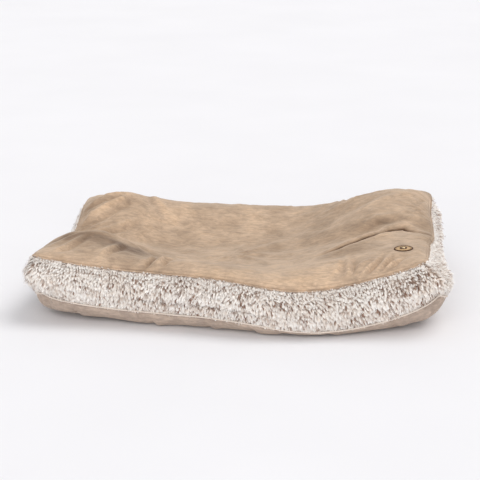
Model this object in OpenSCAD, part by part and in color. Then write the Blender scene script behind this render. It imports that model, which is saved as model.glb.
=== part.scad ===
// Large boxed pet cushion bed: a zipped cover of suede panels with a plush side band, over a slack
// fibre-filled pad. Units are millimetres. The origin is on the floor under the middle of the bed,
// +X runs along its length, the front faces -Y and +Z is up.
// Each sewn surface is a function of u and v, which run from -1 to 1 along the length and the depth.

/* [Plan] */
// Half of the length of the top panel between its corner seams
half_l = 560; // [480:5:620]
// Distance from the middle to the front seam at the front corners
front_d = 331; // [300:1:400]
// Distance from the middle to the back seam
back_d = 391.6; // [340:0.2:420]
// How far the weight of the animal has pushed out the middle of the front edge
front_push = 50; // [0:5:60]
// How far every front edge bellies out between its corners
front_belly = 12; // [0:2:20]
// How far the left side draws in from its front corner to its back corner
left_in = 21; // [0:1:30]
// How far the left side is bowed in where the cover folds
left_bow = 24; // [0:2:30]
// How far the right side draws in from its back corner to its front corner
right_in = 19; // [0:1:30]
// How far the right side is bowed in behind its middle
right_bow = 11; // [0:1:20]
// How far the front right corner of the base is kicked out
base_kick = 26; // [0:2:30]

/* [Heights] */
// Height of the plush band between its two seams
band_h = 116; // [90:2:140]
// Height of the base seam above the floor
strip_h = 45; // [30:1:50]
// Inward reach of the rounded edge of the base
strip_r = 60; // [50:2:70]
// Crown of the top panel above its seam
crown_h = 30; // [20:2:40]
// Depth of the hollow in which the animal lies
hollow_h = 64; // [20:2:70]

/* [Fabric] */
// Thickness of the suede panels
suede_t = 3; // [2:0.5:4]
// Thickness of the plush band
band_t = 8; // [6:1:10]
// Outward puff of the band along the long sides
long_puff = 24; // [15:1:32]
// Outward puff of the band at the left end
left_puff = 24; // [15:1:32]
// Outward puff of the band at the front of the right end
right_puff = 34; // [20:1:36]
// Thickness of the ticking of the inner pad
case_t = 1.6; // [1:0.2:2]
// Gap in plan between the outline of the cover and the inner pad
case_gap = 12; // [11:0.2:14]
// Radius of the rolled seam round the top panel
top_welt_r = 2.4; // [2:0.1:2.6]
// Radius of the seam edge round the base panel
base_welt_r = 1.8; // [1.4:0.1:2]

/* [Badge] */
// Radius of the leather badge inside its bound rim
badge_r = 24; // [18:1:28]
// Thickness of the leather badge
badge_t = 1.4; // [1:0.2:2]
// Width of the bound rim
rim_w = 2.8; // [2:0.2:4]

/* [Zip] */
// Length of the zip between the ends of its tapes
zip_l = 760; // [500:10:770]
// Height of the whole zip between the base panel and the band
zip_h = 16; // [15:0.5:18]
// Height of one row of teeth
row_h = 2.7; // [2.2:0.1:2.8]
// Length of the slider
slider_l = 11; // [9:0.5:14]
// Length of the pull tab
pull_l = 30; // [20:1:36]

/* [Hidden] */

mid_d = (front_d + back_d) / 2;
nu = 24;
nv = 18;
us = [for (i = [0 : nu]) sin(90 * (2 * i / nu - 1))];
vs = [for (j = [0 : nv]) sin(90 * (2 * j / nv - 1))];
rim_n = 2 * (nu + nv);
band_rows = [0, 0.03, 0.1, 0.2, 0.32, 0.5, 0.68, 0.8, 0.9, 0.97, 1];
case_rows = [0, 0.1, 0.2, 0.3, 0.4, 0.5, 0.6, 0.7, 0.8, 0.9, 1];
case_out = suede_t + 6;
case_in = case_out + case_t;
fill_drop = case_in + 7.5;
fill_gap = case_gap + case_t + 3;
case_puff = 0.9;
base_spread = 6;
corner_pull = 0.016;
sew = 0.3;

// Corner lifts: [u, v, lift of the corner, its reach along the length, its reach along the depth]
corners = [
    [-1, -1, 34, 420, 300], [1, -1, 45, 250, 500], [1, 1, 60, 165, 550], [-1, 1, 18, 165, 300]
];
// How far the front right corner of the base is kicked up
base_tip = 22;
// Lobes and dips of the filling: [u, v, half-width along u, half-width along v, height]
lobes = [
    [-0.76, -0.45, 0.25, 0.30, 36],
    [-0.80, 0.72, 0.28, 0.38, 46],
    [-0.82, 0.10, 0.40, 0.24, -30],
    [0.84, 0.70, 0.42, 0.46, 44],
    [0.24, 0.95, 0.28, 0.40, -12],
    [0.72, 0.03, 0.36, 0.14, -18],
    [0.70, -0.55, 0.34, 0.30, 4]
];
// The hollow has a flat floor and steep sides: [u, v, half-width along u, half-width along v]
hollow = [-0.08, 0.02, 0.56, 0.72];
badge_uv = [0.85, -0.63];

// ---- Shape of the cover ----

function bump(t, mid, width) = exp(-pow((t - mid) / width, 2));
function mix(a, b, t) = a * (1 - t) + b * t;
function clamp01(t) = min(1, max(0, t));
function smooth01(t) = let (s = clamp01(t)) s * s * (3 - 2 * s);

function x_left(v) = -half_l - 5 + left_in * (v + 1) / 2 + left_bow * bump(v, 0.25, 0.5);
function x_right(v) = half_l - 2 - right_in * (1 - v) / 2 - right_bow * bump(v, 0.6, 0.4);
function y_front(u) = -front_d - front_belly * (1 - u * u) - front_push * bump(u, 0.22, 0.42);

// Plan position of u and v on the outline grown by spread
function plan(u, v, spread) =
    let (kick = base_kick * spread / base_spread * bump(v, -1, 0.55),
         x = mix(x_left(v) - spread, x_right(v) + spread + kick, (u + 1) / 2),
         y = mix(y_front(u) - spread, back_d + spread, (v + 1) / 2))
    [x * (1 - corner_pull * pow(v, 10)), y * (1 - corner_pull * pow(u, 10))];

// Outward direction at the outline, mitred at the corners
function outward(u, v) = [sign(u) * pow(abs(u), 8), sign(v) * pow(abs(v), 8)];

// 1 at a corner, falling to 0 at the given reach
function near(cu, cv, reach_u, reach_v, u, v) =
    pow(clamp01(1 - norm([(u - cu) * half_l / reach_u, (v - cv) * mid_d / reach_v])), 2);
function lift_of(c, u, v) = c[2] * near(c[0], c[1], c[3], c[4], u, v);
function corner_lift(u, v) =
    lift_of(corners[0], u, v) + lift_of(corners[1], u, v)
    + lift_of(corners[2], u, v) + lift_of(corners[3], u, v);

// Height of the base seam, squashed where the front edge is pushed out
function seam_base(u, v) =
    strip_h * (1 - 0.62 * bump(u, 0.4, 0.3) * pow((1 - v) / 2, 4))
    + base_tip * near(1, -1, 200, 300, u, v);
function base_z(u, v) =
    let (fu = clamp01(1 - (1 - abs(u)) * half_l / strip_r),
         fv = clamp01(1 - (1 - abs(v)) * mid_d / strip_r),
         f = min(1, norm([fu, fv])))
    seam_base(u, v) * (1 - sqrt(1 - f * f)) + corner_lift(u, v);

// Height of the band at the outline: slacker at the back and where the sides fold
function band_z(u, v) =
    band_h - 6 * (v + 1) / 2
    - 22 * bump(v, 0.12, 0.35) * pow((1 - u) / 2, 2)
    + (18 * bump(v, 0, 0.55) - 6 * bump(v, 0.03, 0.1)) * pow((1 + u) / 2, 4)
    + 60 * (near(1, 1, 480, 550, u, v) - near(1, 1, 165, 550, u, v))
    - base_tip * near(1, -1, 200, 300, u, v);
function seam_z(u, v) = seam_base(u, v) + corner_lift(u, v) + band_z(u, v);
function rim_rise(u, v) = sqrt(max(0, 1 - pow(abs(u), 7)) * max(0, 1 - pow(abs(v), 6)));
function lobe_of(l, u, v) = l[4] * bump(u, l[0], l[2]) * bump(v, l[1], l[3]);
function lobe_sum(u, v, k) =
    k < 0 ? crown_h - hollow_h * exp(-pow((u - hollow[0]) / hollow[2], 4)
                                     - pow((v - hollow[1]) / hollow[3], 4))
          : lobe_of(lobes[k], u, v) + lobe_sum(u, v, k - 1);
function top_z(u, v) = seam_z(u, v) + rim_rise(u, v) * lobe_sum(u, v, len(lobes) - 1);

// The two surfaces of the cover, moved up by rise and drawn in from the outline by gap
function top_at(u, v, gap, rise) =
    let (a = u * (1 - gap / half_l), b = v * (1 - gap / mid_d), p = plan(a, b, 0))
    [p[0], p[1], top_z(a, b) + rise];
function base_at(u, v, gap, rise) =
    let (a = u * (1 - gap / half_l), b = v * (1 - gap / mid_d), p = plan(a, b, base_spread))
    [p[0], p[1], base_z(a, b) + rise];

// Outward puff of the band, where t = 0 at its lower edge and 1 at its upper edge
function puff_at(u, v, t) =
    let (end_puff = u < 0 ? left_puff : right_puff * (1 - 0.4 * smooth01((v + 0.4) / 0.9)))
    mix(long_puff, end_puff, pow(abs(u), 6)) * (1 - 0.25 * pow(abs(u * v), 8))
    * pow(sin(180 * clamp01(t)), 1.5);
// A point of a side wall between low and high, pushed out along the outward direction
function side_at(low, high, u, v, t, push) =
    let (o = outward(u, v))
    [mix(low[0], high[0], t) + o[0] * push, mix(low[1], high[1], t) + o[1] * push,
     mix(low[2], high[2], t)];

// ---- The outline, counted anticlockwise from the front left corner ----

function rim_uv(p) =
    p < nu ? [us[p], -1]
    : p < nu + nv ? [1, vs[p - nu]]
    : p < 2 * nu + nv ? [us[2 * nu + nv - p], 1]
    : [-1, vs[rim_n - p]];
function rim_vertex(p) =
    p < nu ? p
    : p < nu + nv ? (p - nu) * (nu + 1) + nu
    : p < 2 * nu + nv ? nv * (nu + 1) + 2 * nu + nv - p
    : (rim_n - p) * (nu + 1);

// ---- Solids from surfaces ----

// A closed sheet between two surfaces on the same grid, with high on the side of a cross b
module sheet(cols, rows, low, high) {
    w = len(cols);
    h = len(rows);
    n = w * h;
    points = [
        for (b = rows) for (a = cols) low(a, b),
        for (b = rows) for (a = cols) high(a, b)
    ];
    quads = [
        for (j = [0 : h - 2]) for (i = [0 : w - 2])
            let (k = j * w + i)
            each [[k, k + 1, k + 1 + w, k + w],
                  [n + k, n + k + w, n + k + 1 + w, n + k + 1]],
        for (i = [0 : w - 2])
            let (k = (h - 1) * w + i)
            each [[i, n + i, n + i + 1, i + 1], [k, k + 1, n + k + 1, n + k]],
        for (j = [0 : h - 2])
            let (k = j * w, m = k + w - 1)
            each [[k, k + w, n + k + w, n + k], [m, n + m, n + m + w, m + w]]
    ];
    polyhedron(points = points, faces = quads, convexity = 6);
}

// A closed ring of tube through the outline, its middle given by centre(u, v)
module rim_tube(radius, sides, centre) {
    points = [
        for (p = [0 : rim_n - 1])
            let (uv = rim_uv(p), c = centre(uv[0], uv[1]), o = outward(uv[0], uv[1]))
            for (k = [0 : sides - 1])
                let (a = 360 * k / sides)
                [c[0] + o[0] * radius * cos(a), c[1] + o[1] * radius * cos(a),
                 c[2] + radius * sin(a)]
    ];
    quads = [
        for (p = [0 : rim_n - 1]) for (k = [0 : sides - 1])
            let (a = p * sides, b = ((p + 1) % rim_n) * sides, m = (k + 1) % sides)
            [a + k, a + m, b + m, b + k]
    ];
    polyhedron(points = points, faces = quads, convexity = 8);
}

// One side of the plush band between two places on the outline
module band(first, last, lower) {
    sheet(
        [for (p = [first : last]) p], band_rows,
        function (p, t) let (uv = rim_uv(p % rim_n)) band_at(uv[0], uv[1], t, lower, band_t),
        function (p, t) let (uv = rim_uv(p % rim_n)) band_at(uv[0], uv[1], t, lower, 0)
    );
}
// The inner face follows the outer one and closes up to it towards the seams
function band_at(u, v, t, lower, inset) =
    side_at(base_at(u, v, 0, suede_t + lower), top_at(u, v, 0, -suede_t - 2 * sew), u, v, t,
            puff_at(u, v, t) - inset * (0.4 + 0.6 * sqrt(sin(180 * t))));

// ---- Cover ----

module top_panel() {
    color("#b99c83")
        sheet(us, vs, function (u, v) top_at(u, v, 0, -suede_t), function (u, v) top_at(u, v, 0, 0));
}

module base_panel() {
    color("#9c8878")
        sheet(us, vs, function (u, v) base_at(u, v, 0, 0), function (u, v) base_at(u, v, 0, suede_t));
}

module front_band() {
    color("#e6ddd3") band(0, nu, sew);
}

module right_band() {
    color("#e2d8cd") band(nu, nu + nv, sew);
}

module back_band() {
    color("#e6ddd3") band(nu + nv, 2 * nu + nv, zip_h);
}

module left_band() {
    color("#e2d8cd") band(2 * nu + nv, rim_n, sew);
}

// Suede strip that closes the back seam between the zip and a corner, side is -1 or 1
module back_strip(side) {
    u_zip = u_at_back(side * (zip_l / 2 + 3));
    u_end = side * 0.994;
    steps = [for (k = [0 : 10]) k / 10];
    strip_rows = [0, 1];
    color("#9c8878")
        sheet(
            side > 0 ? steps : [for (s = steps) 1 - s], strip_rows,
            function (s, t) back_strip_at(mix(u_end, u_zip, s), t, suede_t),
            function (s, t) back_strip_at(mix(u_end, u_zip, s), t, 0)
        );
}
// The u of a place along the back edge of the base
function u_at_back(x) =
    let (left = plan(-1, 1, base_spread)[0] / (1 - corner_pull),
         right = plan(1, 1, base_spread)[0] / (1 - corner_pull))
    2 * (x / (1 - corner_pull) - left) / (right - left) - 1;
function back_strip_at(u, t, inset) =
    let (p = base_at(u, 1, 0, suede_t + 2 * sew))
    [p[0], p[1] - inset, p[2] + t * (zip_h - 5 * sew)];

module back_strip_left() {
    back_strip(-1);
}

module back_strip_right() {
    back_strip(1);
}

module top_welt() {
    color("#a78a72")
        rim_tube(top_welt_r, 8, function (u, v)
            let (p = plan(u, v, 0), o = outward(u, v) * (top_welt_r + 2 * sew))
            [p[0] + o[0], p[1] + o[1], seam_z(u, v) - suede_t / 2]);
}

module base_welt() {
    color("#c3ad99")
        rim_tube(base_welt_r, 6, function (u, v)
            let (p = plan(u, v, base_spread), o = outward(u, v) * (base_welt_r + 2 * sew))
            [p[0] + o[0], p[1] + o[1], base_z(u, v) + suede_t / 2]);
}

// ---- Badge, square to the panel under it ----

badge_step = 0.02;
badge_lift = 1.4;
thread_r = 0.5;
stud_r = 5;
shank_r = 2;
badge_at = top_at(badge_uv[0], badge_uv[1], 0, 0);
badge_du = top_at(badge_uv[0] + badge_step, badge_uv[1], 0, 0) - badge_at;
badge_dv = top_at(badge_uv[0], badge_uv[1] + badge_step, 0, 0) - badge_at;
badge_n = cross(badge_du, badge_dv) / norm(cross(badge_du, badge_dv));

module on_badge() {
    translate(badge_at + badge_n * badge_lift)
        rotate([0, acos(badge_n[2]), atan2(badge_n[1], badge_n[0])])
            children();
}

module badge_patch() {
    color("#b98f5c")
        on_badge()
            difference() {
                cylinder(h = badge_t, r = badge_r, $fn = 96);
                translate([0, 0, -1]) cylinder(h = badge_t + 2, r = shank_r + 0.2, $fn = 48);
            }
}

module badge_rim() {
    color("#4a2c1c")
        on_badge()
            rotate_extrude($fn = 96)
                translate([badge_r + 0.2, 0]) square([rim_w, badge_t + 0.8]);
}

module badge_thread() {
    color("#5a3826")
        on_badge()
            translate([0, 0, badge_t + thread_r + 0.05])
                rotate_extrude($fn = 96)
                    translate([badge_r - 3, 0]) circle(r = thread_r, $fn = 24);
}

module badge_stud() {
    color("#8d6a3c")
        on_badge() {
            cylinder(h = badge_t + 0.6, r = shank_r, $fn = 48);
            translate([0, 0, badge_t + 0.2])
                intersection() {
                    cylinder(h = 2, r = stud_r, $fn = 64);
                    translate([0, 0, 2 - 3 * stud_r]) sphere(r = 3 * stud_r, $fn = 96);
                }
        }
}

// ---- Zip in the back seam, straight along X ----

tape_t = 1.2;
tooth_t = 2.4;
slit = 1;
zip_y = back_d + base_spread - 2;
zip_z = strip_h + suede_t + zip_h / 2;
tape_low = strip_h + suede_t + sew;
tape_high = strip_h + suede_t + zip_h - 2 * sew;
row_out = slit / 2 + row_h;
stop_l = 3;
stop_x = zip_l / 2 - 12;
closed_x = stop_x - stop_l / 2 - slider_l / 2 - 2;
plate_t = 1.4;
plate_gap = 0.4;
plate_half = row_out + 1.4;
plate_out = zip_y + tooth_t / 2 + plate_gap;
plate_in = zip_y - tooth_t / 2 - plate_gap;
lip_h = 0.9;
lip_d = 0.5;
web_t = 0.5;
web_l = 3;
bar_r = 0.9;
bar_y = plate_out + plate_t + 3.4;
ear_t = 0.9;
ear_z = 2.1;
eye_r = 2.6;
eye_hole_r = 1.3;
eye_h = 3.6;
pull_w = 7;
pull_t = 1.4;

module tape(low, high) {
    color("#8c7a6b")
        translate([-zip_l / 2, zip_y - tape_t / 2, low]) cube([zip_l, tape_t, high - low]);
}

// A row of teeth on the upper (1) or lower (-1) tape
module teeth_row(side) {
    color("#6f6055")
        translate([-stop_x, zip_y - tooth_t / 2, zip_z + (side > 0 ? slit / 2 : -row_out)])
            cube([2 * stop_x, tooth_t, row_h]);
}

module zip_tape_upper() {
    tape(zip_z + row_out + 0.05, tape_high);
}

module zip_tape_lower() {
    tape(tape_low, zip_z - row_out - 0.05);
}

module zip_teeth_upper() {
    teeth_row(1);
}

module zip_teeth_lower() {
    teeth_row(-1);
}

module zip_stop(x) {
    color("#a0a0a0")
        translate([x - stop_l / 2, zip_y - tooth_t / 2 - 0.2, zip_z - row_out])
            cube([stop_l, tooth_t + 0.4, 2 * row_out]);
}

module zip_stop_closed() {
    zip_stop(stop_x + stop_l / 2 + 0.2);
}

module zip_stop_open() {
    zip_stop(-stop_x - stop_l / 2 - 0.2);
}

module zip_slider() {
    color("#9a9a9c")
        translate([closed_x, 0, zip_z]) {
            for (plate_y = [plate_out, plate_in - plate_t])
                translate([-slider_l / 2, plate_y, -plate_half])
                    cube([slider_l, plate_t, 2 * plate_half]);
            for (side = [0, 1])
                mirror([0, 0, side]) {
                    translate([-slider_l / 2, plate_out - lip_d, plate_half - lip_h])
                        cube([slider_l, lip_d, lip_h]);
                    translate([-slider_l / 2, plate_in, plate_half - lip_h])
                        cube([slider_l, lip_d, lip_h]);
                    translate([-eye_r, plate_out + plate_t, ear_z])
                        cube([2 * eye_r, bar_y - plate_out - plate_t + bar_r, ear_t]);
                }
            translate([-slider_l / 2, plate_in, -web_t / 2]) cube([web_l, plate_out - plate_in, web_t]);
            translate([0, bar_y, -ear_z]) cylinder(h = 2 * ear_z, r = bar_r, $fn = 48);
        }
}

module zip_pull() {
    color("#7d6350")
        translate([closed_x, bar_y, zip_z])
            difference() {
                union() {
                    translate([0, 0, -eye_h / 2]) cylinder(h = eye_h, r = eye_r, $fn = 48);
                    translate([-2 * eye_r - 2, -pull_t / 2, -eye_h / 2])
                        cube([2 * eye_r + 2, pull_t, eye_h]);
                    translate([-pull_l, -pull_t / 2, -pull_w / 2])
                        cube([pull_l - 2 * eye_r - 1, pull_t, pull_w]);
                }
                translate([0, 0, -eye_h]) cylinder(h = 2 * eye_h, r = eye_hole_r, $fn = 48);
            }
}

label_w = 36;
label_h = 24;
label_t = 0.8;
label_x = -470;

module care_label() {
    color("#f2efe9")
        translate([label_x, back_d + base_spread + 1, strip_h - label_h - 2])
            cube([label_w, label_t, label_h]);
}

// ---- Inner pad ----

module inner_case_top() {
    color("#f0ece4")
        sheet(us, vs, function (u, v) top_at(u, v, case_gap, -case_in),
              function (u, v) top_at(u, v, case_gap, -case_out));
}

module inner_case_base() {
    color("#f0ece4")
        sheet(us, vs, function (u, v) base_at(u, v, case_gap, case_out),
              function (u, v) base_at(u, v, case_gap, case_in));
}

// How far the cover stands out at height z, the least of it where two sides of the band meet
function cover_push(u, v, z, lower) =
    let (low = base_at(u, v, 0, suede_t + lower)[2], high = top_at(u, v, 0, -suede_t - 2 * sew)[2])
    puff_at(u, v, (z - low) / (high - low));
function border_at(u, v, t, gap, rise, inset) =
    let (low = base_at(u, v, gap, rise), high = top_at(u, v, gap, -rise), z = mix(low[2], high[2], t),
         push = v > 0.99 ? min(cover_push(u, v, z, sew), cover_push(u, v, z, zip_h))
                         : cover_push(u, v, z, sew))
    side_at(low, high, u, v, t, case_puff * push - inset);

// A border all round, as one closed ring of four-sided cross-sections
module inner_case_border() {
    h = len(case_rows);
    rise = case_in + sew;
    ring = 2 * h;
    points = [
        for (p = [0 : rim_n - 1])
            let (uv = rim_uv(p))
            each [
                for (t = case_rows) border_at(uv[0], uv[1], t, case_gap, rise, 0),
                for (k = [h - 1 : -1 : 0]) border_at(uv[0], uv[1], case_rows[k], case_gap, rise, case_t)
            ]
    ];
    quads = [
        for (p = [0 : rim_n - 1]) for (k = [0 : ring - 1])
            let (a = p * ring, b = ((p + 1) % rim_n) * ring, m = (k + 1) % ring)
            [a + k, a + m, b + m, b + k]
    ];
    color("#f0ece4") polyhedron(points = points, faces = quads, convexity = 8);
}

// The filling: its upper and lower surfaces on one grid, joined round the outline by side rows
module fibre_fill() {
    w = nu + 1;
    n = w * (nv + 1);
    rows = len(case_rows) - 1;
    points = [
        for (v = vs) for (u = us) base_at(u, v, fill_gap, fill_drop),
        for (v = vs) for (u = us) top_at(u, v, fill_gap, -fill_drop),
        for (r = [1 : rows - 1]) for (p = [0 : rim_n - 1])
            let (uv = rim_uv(p))
            border_at(uv[0], uv[1], case_rows[r], fill_gap, fill_drop, 0)
    ];
    quads = [
        for (j = [0 : nv - 1]) for (i = [0 : nu - 1])
            let (k = j * w + i)
            each [[k, k + 1, k + 1 + w, k + w],
                  [n + k, n + k + w, n + k + 1 + w, n + k + 1]],
        for (r = [0 : rows - 1]) for (p = [0 : rim_n - 1])
            let (q = (p + 1) % rim_n)
            [wall_vertex(r, p, n, rows), wall_vertex(r + 1, p, n, rows),
             wall_vertex(r + 1, q, n, rows), wall_vertex(r, q, n, rows)]
    ];
    color("#fbfaf7") polyhedron(points = points, faces = quads, convexity = 6);
}
function wall_vertex(r, p, n, rows) =
    r == 0 ? rim_vertex(p) : r == rows ? n + rim_vertex(p) : 2 * n + (r - 1) * rim_n + p;

top_panel();
base_panel();
front_band();
right_band();
back_band();
left_band();
back_strip_left();
back_strip_right();
top_welt();
base_welt();
badge_patch();
badge_rim();
badge_thread();
badge_stud();
zip_tape_upper();
zip_tape_lower();
zip_teeth_upper();
zip_teeth_lower();
zip_stop_closed();
zip_stop_open();
zip_slider();
zip_pull();
care_label();
inner_case_top();
inner_case_base();
inner_case_border();
fibre_fill();
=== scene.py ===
"""Looks of a large boxed pet cushion bed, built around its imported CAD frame.

Every sewn surface is a function of u and v, which run from -1 to 1 along the length and the depth,
with the driving sizes of the frame and a few that only the looks have. Lengths are in metres, and
colours are linear.
"""

import math

import bpy
import numpy as np
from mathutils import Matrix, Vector


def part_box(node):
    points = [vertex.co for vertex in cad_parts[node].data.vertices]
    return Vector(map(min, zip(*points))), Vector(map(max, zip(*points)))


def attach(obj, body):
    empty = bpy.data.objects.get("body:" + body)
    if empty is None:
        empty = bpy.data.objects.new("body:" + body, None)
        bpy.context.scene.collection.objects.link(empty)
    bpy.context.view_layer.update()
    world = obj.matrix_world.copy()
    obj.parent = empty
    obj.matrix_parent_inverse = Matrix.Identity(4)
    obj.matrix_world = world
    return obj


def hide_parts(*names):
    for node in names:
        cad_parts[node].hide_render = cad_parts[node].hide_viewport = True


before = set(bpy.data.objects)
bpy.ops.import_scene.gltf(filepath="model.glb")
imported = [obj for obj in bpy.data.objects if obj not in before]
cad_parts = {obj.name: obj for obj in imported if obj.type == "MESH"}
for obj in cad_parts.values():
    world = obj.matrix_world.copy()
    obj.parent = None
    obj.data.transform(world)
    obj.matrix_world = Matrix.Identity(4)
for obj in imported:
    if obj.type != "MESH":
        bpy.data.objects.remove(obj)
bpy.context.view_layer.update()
scene = bpy.context.scene

# ---- Driving sizes, as in the frame ----

HALF_L = 0.560
FRONT_D = 0.331
BACK_D = 0.3916
MID_D = (FRONT_D + BACK_D) / 2
FRONT_PUSH = 0.050
FRONT_BELLY = 0.012
LEFT_FRONT = 0.565
LEFT_BACK = 0.544
LEFT_BOW = 0.024
RIGHT_FRONT = 0.539
RIGHT_BACK = 0.558
RIGHT_BOW = 0.011
BAND_H = 0.116
STRIP_H = 0.045
STRIP_R = 0.060
STRIP_SQUASH = 0.62
CROWN_H = 0.030
HOLLOW_H = 0.064
LONG_PUFF = 0.024
LEFT_PUFF = 0.024
RIGHT_PUFF = 0.034
SUEDE_T = 0.003
BASE_SPREAD = 0.006
BASE_TIP = 0.022
CORNER_PULL = 0.016
ZIP_H = 0.016
TOP_CORNER = 60
BASE_CORNER = 20

# Sizes that only the looks have, or that are a little more than in the frame
BASE_KICK = 0.038
BASE_CHAMFER = 0.8
RIGHT_NOTCH = 0.012
BADGE_UV = (0.8709, -0.63)
BADGE_LIFT = 0.0014

# u, v, lift of the corner, how far it reaches along the length and along the depth
CORNERS = [
    (-1, -1, 0.034, 0.42, 0.30),
    (1, -1, 0.045, 0.25, 0.50),
    (1, 1, 0.060, 0.165, 0.55),
    (-1, 1, 0.018, 0.165, 0.30),
]
# u, v, half-width along u, half-width along v, height
LOBES = [
    (-0.76, -0.45, 0.25, 0.30, 0.036),
    (-0.80, 0.72, 0.28, 0.38, 0.046),
    (-0.82, 0.10, 0.40, 0.24, -0.030),
    (0.84, 0.70, 0.42, 0.46, 0.044),
    (0.24, 0.95, 0.28, 0.40, -0.012),
    (0.72, 0.03, 0.36, 0.14, -0.018),
    (0.70, -0.55, 0.34, 0.30, 0.004),
]
# The hollow has a flat floor and steep sides: u, v, half-width along u, half-width along v
HOLLOW = (-0.08, 0.02, 0.56, 0.72)


# ---- Small mathematics ----


def bump(t, mid, width):
    return np.exp(-(((t - mid) / width) ** 2))


def mix(a, b, t):
    return a * (1 - t) + b * t


def ramp(t, low, high):
    """0 below low, 1 above high, smooth between."""
    s = np.clip((t - low) / (high - low), 0, 1)
    return s * s * (3 - 2 * s)


def noise(x, y, size, seed):
    """Smooth noise from -1 to 1 whose features are about size across."""
    table = np.random.default_rng(seed).uniform(-1, 1, (256, 256))
    gx = np.asarray(x, float) / size + 64
    gy = np.asarray(y, float) / size + 64
    ix, iy = np.floor(gx).astype(int), np.floor(gy).astype(int)
    fx, fy = gx - ix, gy - iy
    fx, fy = fx * fx * (3 - 2 * fx), fy * fy * (3 - 2 * fy)
    low = mix(table[ix % 256, iy % 256], table[(ix + 1) % 256, iy % 256], fx)
    high = mix(table[ix % 256, (iy + 1) % 256], table[(ix + 1) % 256, (iy + 1) % 256], fx)
    return mix(low, high, fy)


def unit(a):
    return a / np.maximum(np.linalg.norm(a, axis=-1, keepdims=True), 1e-12)


# ---- Shape of the cover, very near to that of the frame ----


def plan(u, v, spread=0.0):
    left = -mix(LEFT_FRONT, LEFT_BACK, (v + 1) / 2) + LEFT_BOW * bump(v, 0.25, 0.50) - spread
    right = mix(RIGHT_FRONT, RIGHT_BACK, (v + 1) / 2) - RIGHT_BOW * bump(v, 0.60, 0.40) + spread
    right = right + BASE_KICK * spread / BASE_SPREAD * bump(v, -1, 0.55)
    right = right - RIGHT_NOTCH * (1 - spread / BASE_SPREAD) * (1 - ramp(v, -0.36, -0.12))
    front = -FRONT_D - FRONT_BELLY * (1 - u * u) - FRONT_PUSH * bump(u, 0.22, 0.42) - spread
    back = BACK_D + spread
    x = mix(left, right, (u + 1) / 2)
    y = mix(front, back, (v + 1) / 2)
    tight = 0.6 + 0.4 * bump(u, 1, 0.5) * bump(v, -1, 0.5)
    rounding = rounded(u, v, mix(TOP_CORNER, BASE_CORNER * tight, spread / BASE_SPREAD))
    return x * (1 - CORNER_PULL * v**10) * rounding, y * (1 - CORNER_PULL * u**10) * rounding


def rounded(u, v, power):
    """Draws the corners in to a superellipse; a lower power rounds them more."""
    large = np.maximum(np.abs(u), np.abs(v))
    small = np.minimum(np.abs(u), np.abs(v))
    ratio = small / np.maximum(large, 1e-9)
    return 1 - (1 - (1 + ratio**power) ** (-1 / power)) * large**8


def outward(u, v):
    return np.sign(u) * np.abs(u) ** 8, np.sign(v) * np.abs(v) ** 8


def near(cu, cv, reach_u, reach_v, u, v):
    """1 at a corner, falling to 0 at the given reach."""
    away = np.hypot((u - cu) * HALF_L / reach_u, (v - cv) * MID_D / reach_v)
    return np.clip(1 - away, 0, 1) ** 2


def corner_lift(u, v):
    return sum(height * near(cu, cv, *reach, u, v) for cu, cv, height, *reach in CORNERS)


def base_tip(u, v):
    """How far the front right corner of the base is kicked up."""
    return BASE_TIP * near(1, -1, 0.20, 0.30, u, v)


def seam_base(u, v):
    return STRIP_H * (1 - STRIP_SQUASH * bump(u, 0.40, 0.30) * ((1 - v) / 2) ** 4) + base_tip(u, v)


def base_z(u, v):
    fu = np.clip(1 - (1 - np.abs(u)) * HALF_L / STRIP_R, 0, 1)
    fv = np.clip(1 - (1 - np.abs(v)) * MID_D / STRIP_R, 0, 1)
    f = np.minimum(1, np.hypot(fu, fv))
    rise = mix(1 - np.sqrt(1 - f * f), f**1.7, BASE_CHAMFER * np.sqrt(near(1, -1, 0.30, 0.36, u, v)))
    return seam_base(u, v) * rise + corner_lift(u, v)


def band_z(u, v):
    return (
        BAND_H
        - 0.006 * (v + 1) / 2
        - 0.022 * bump(v, 0.12, 0.35) * ((1 - u) / 2) ** 2
        + 0.018 * bump(v, 0.0, 0.55) * ((1 + u) / 2) ** 4
        - 0.006 * bump(v, 0.03, 0.10) * ((1 + u) / 2) ** 4
        + 0.060 * (near(1, 1, 0.48, 0.55, u, v) - near(1, 1, 0.165, 0.55, u, v))
        - base_tip(u, v)
    )


def seam_z(u, v):
    return seam_base(u, v) + corner_lift(u, v) + band_z(u, v)


def rim_rise(u, v):
    return np.sqrt(np.maximum(0, 1 - np.abs(u) ** 7) * np.maximum(0, 1 - np.abs(v) ** 6))


def top_z(u, v):
    lobes = CROWN_H + 0 * u
    for lu, lv, wu, wv, height in LOBES:
        lobes = lobes + height * bump(u, lu, wu) * bump(v, lv, wv)
    hu, hv, wu, wv = HOLLOW
    lobes = lobes - HOLLOW_H * np.exp(-(((u - hu) / wu) ** 4) - ((v - hv) / wv) ** 4)
    return seam_z(u, v) + rim_rise(u, v) * lobes


def top_at(u, v, rise=0.0):
    x, y = plan(u, v)
    return np.stack([x, y, top_z(u, v) + rise], -1)


def base_at(u, v, rise=0.0):
    x, y = plan(u, v, BASE_SPREAD)
    return np.stack([x, y, base_z(u, v) + rise], -1)


def drawn_in(u, v, gap):
    """u and v drawn in from the outline by a distance in metres."""
    return u * (1 - gap / HALF_L), v * (1 - gap / MID_D)


def from_edge(u, v, x, y):
    """Distance in from the nearest edge, and the place along that edge."""
    edge_x = (1 - np.abs(u)) * HALF_L
    edge_y = (1 - np.abs(v)) * MID_D
    return np.minimum(edge_x, edge_y), np.where(edge_x < edge_y, y, x)


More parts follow.
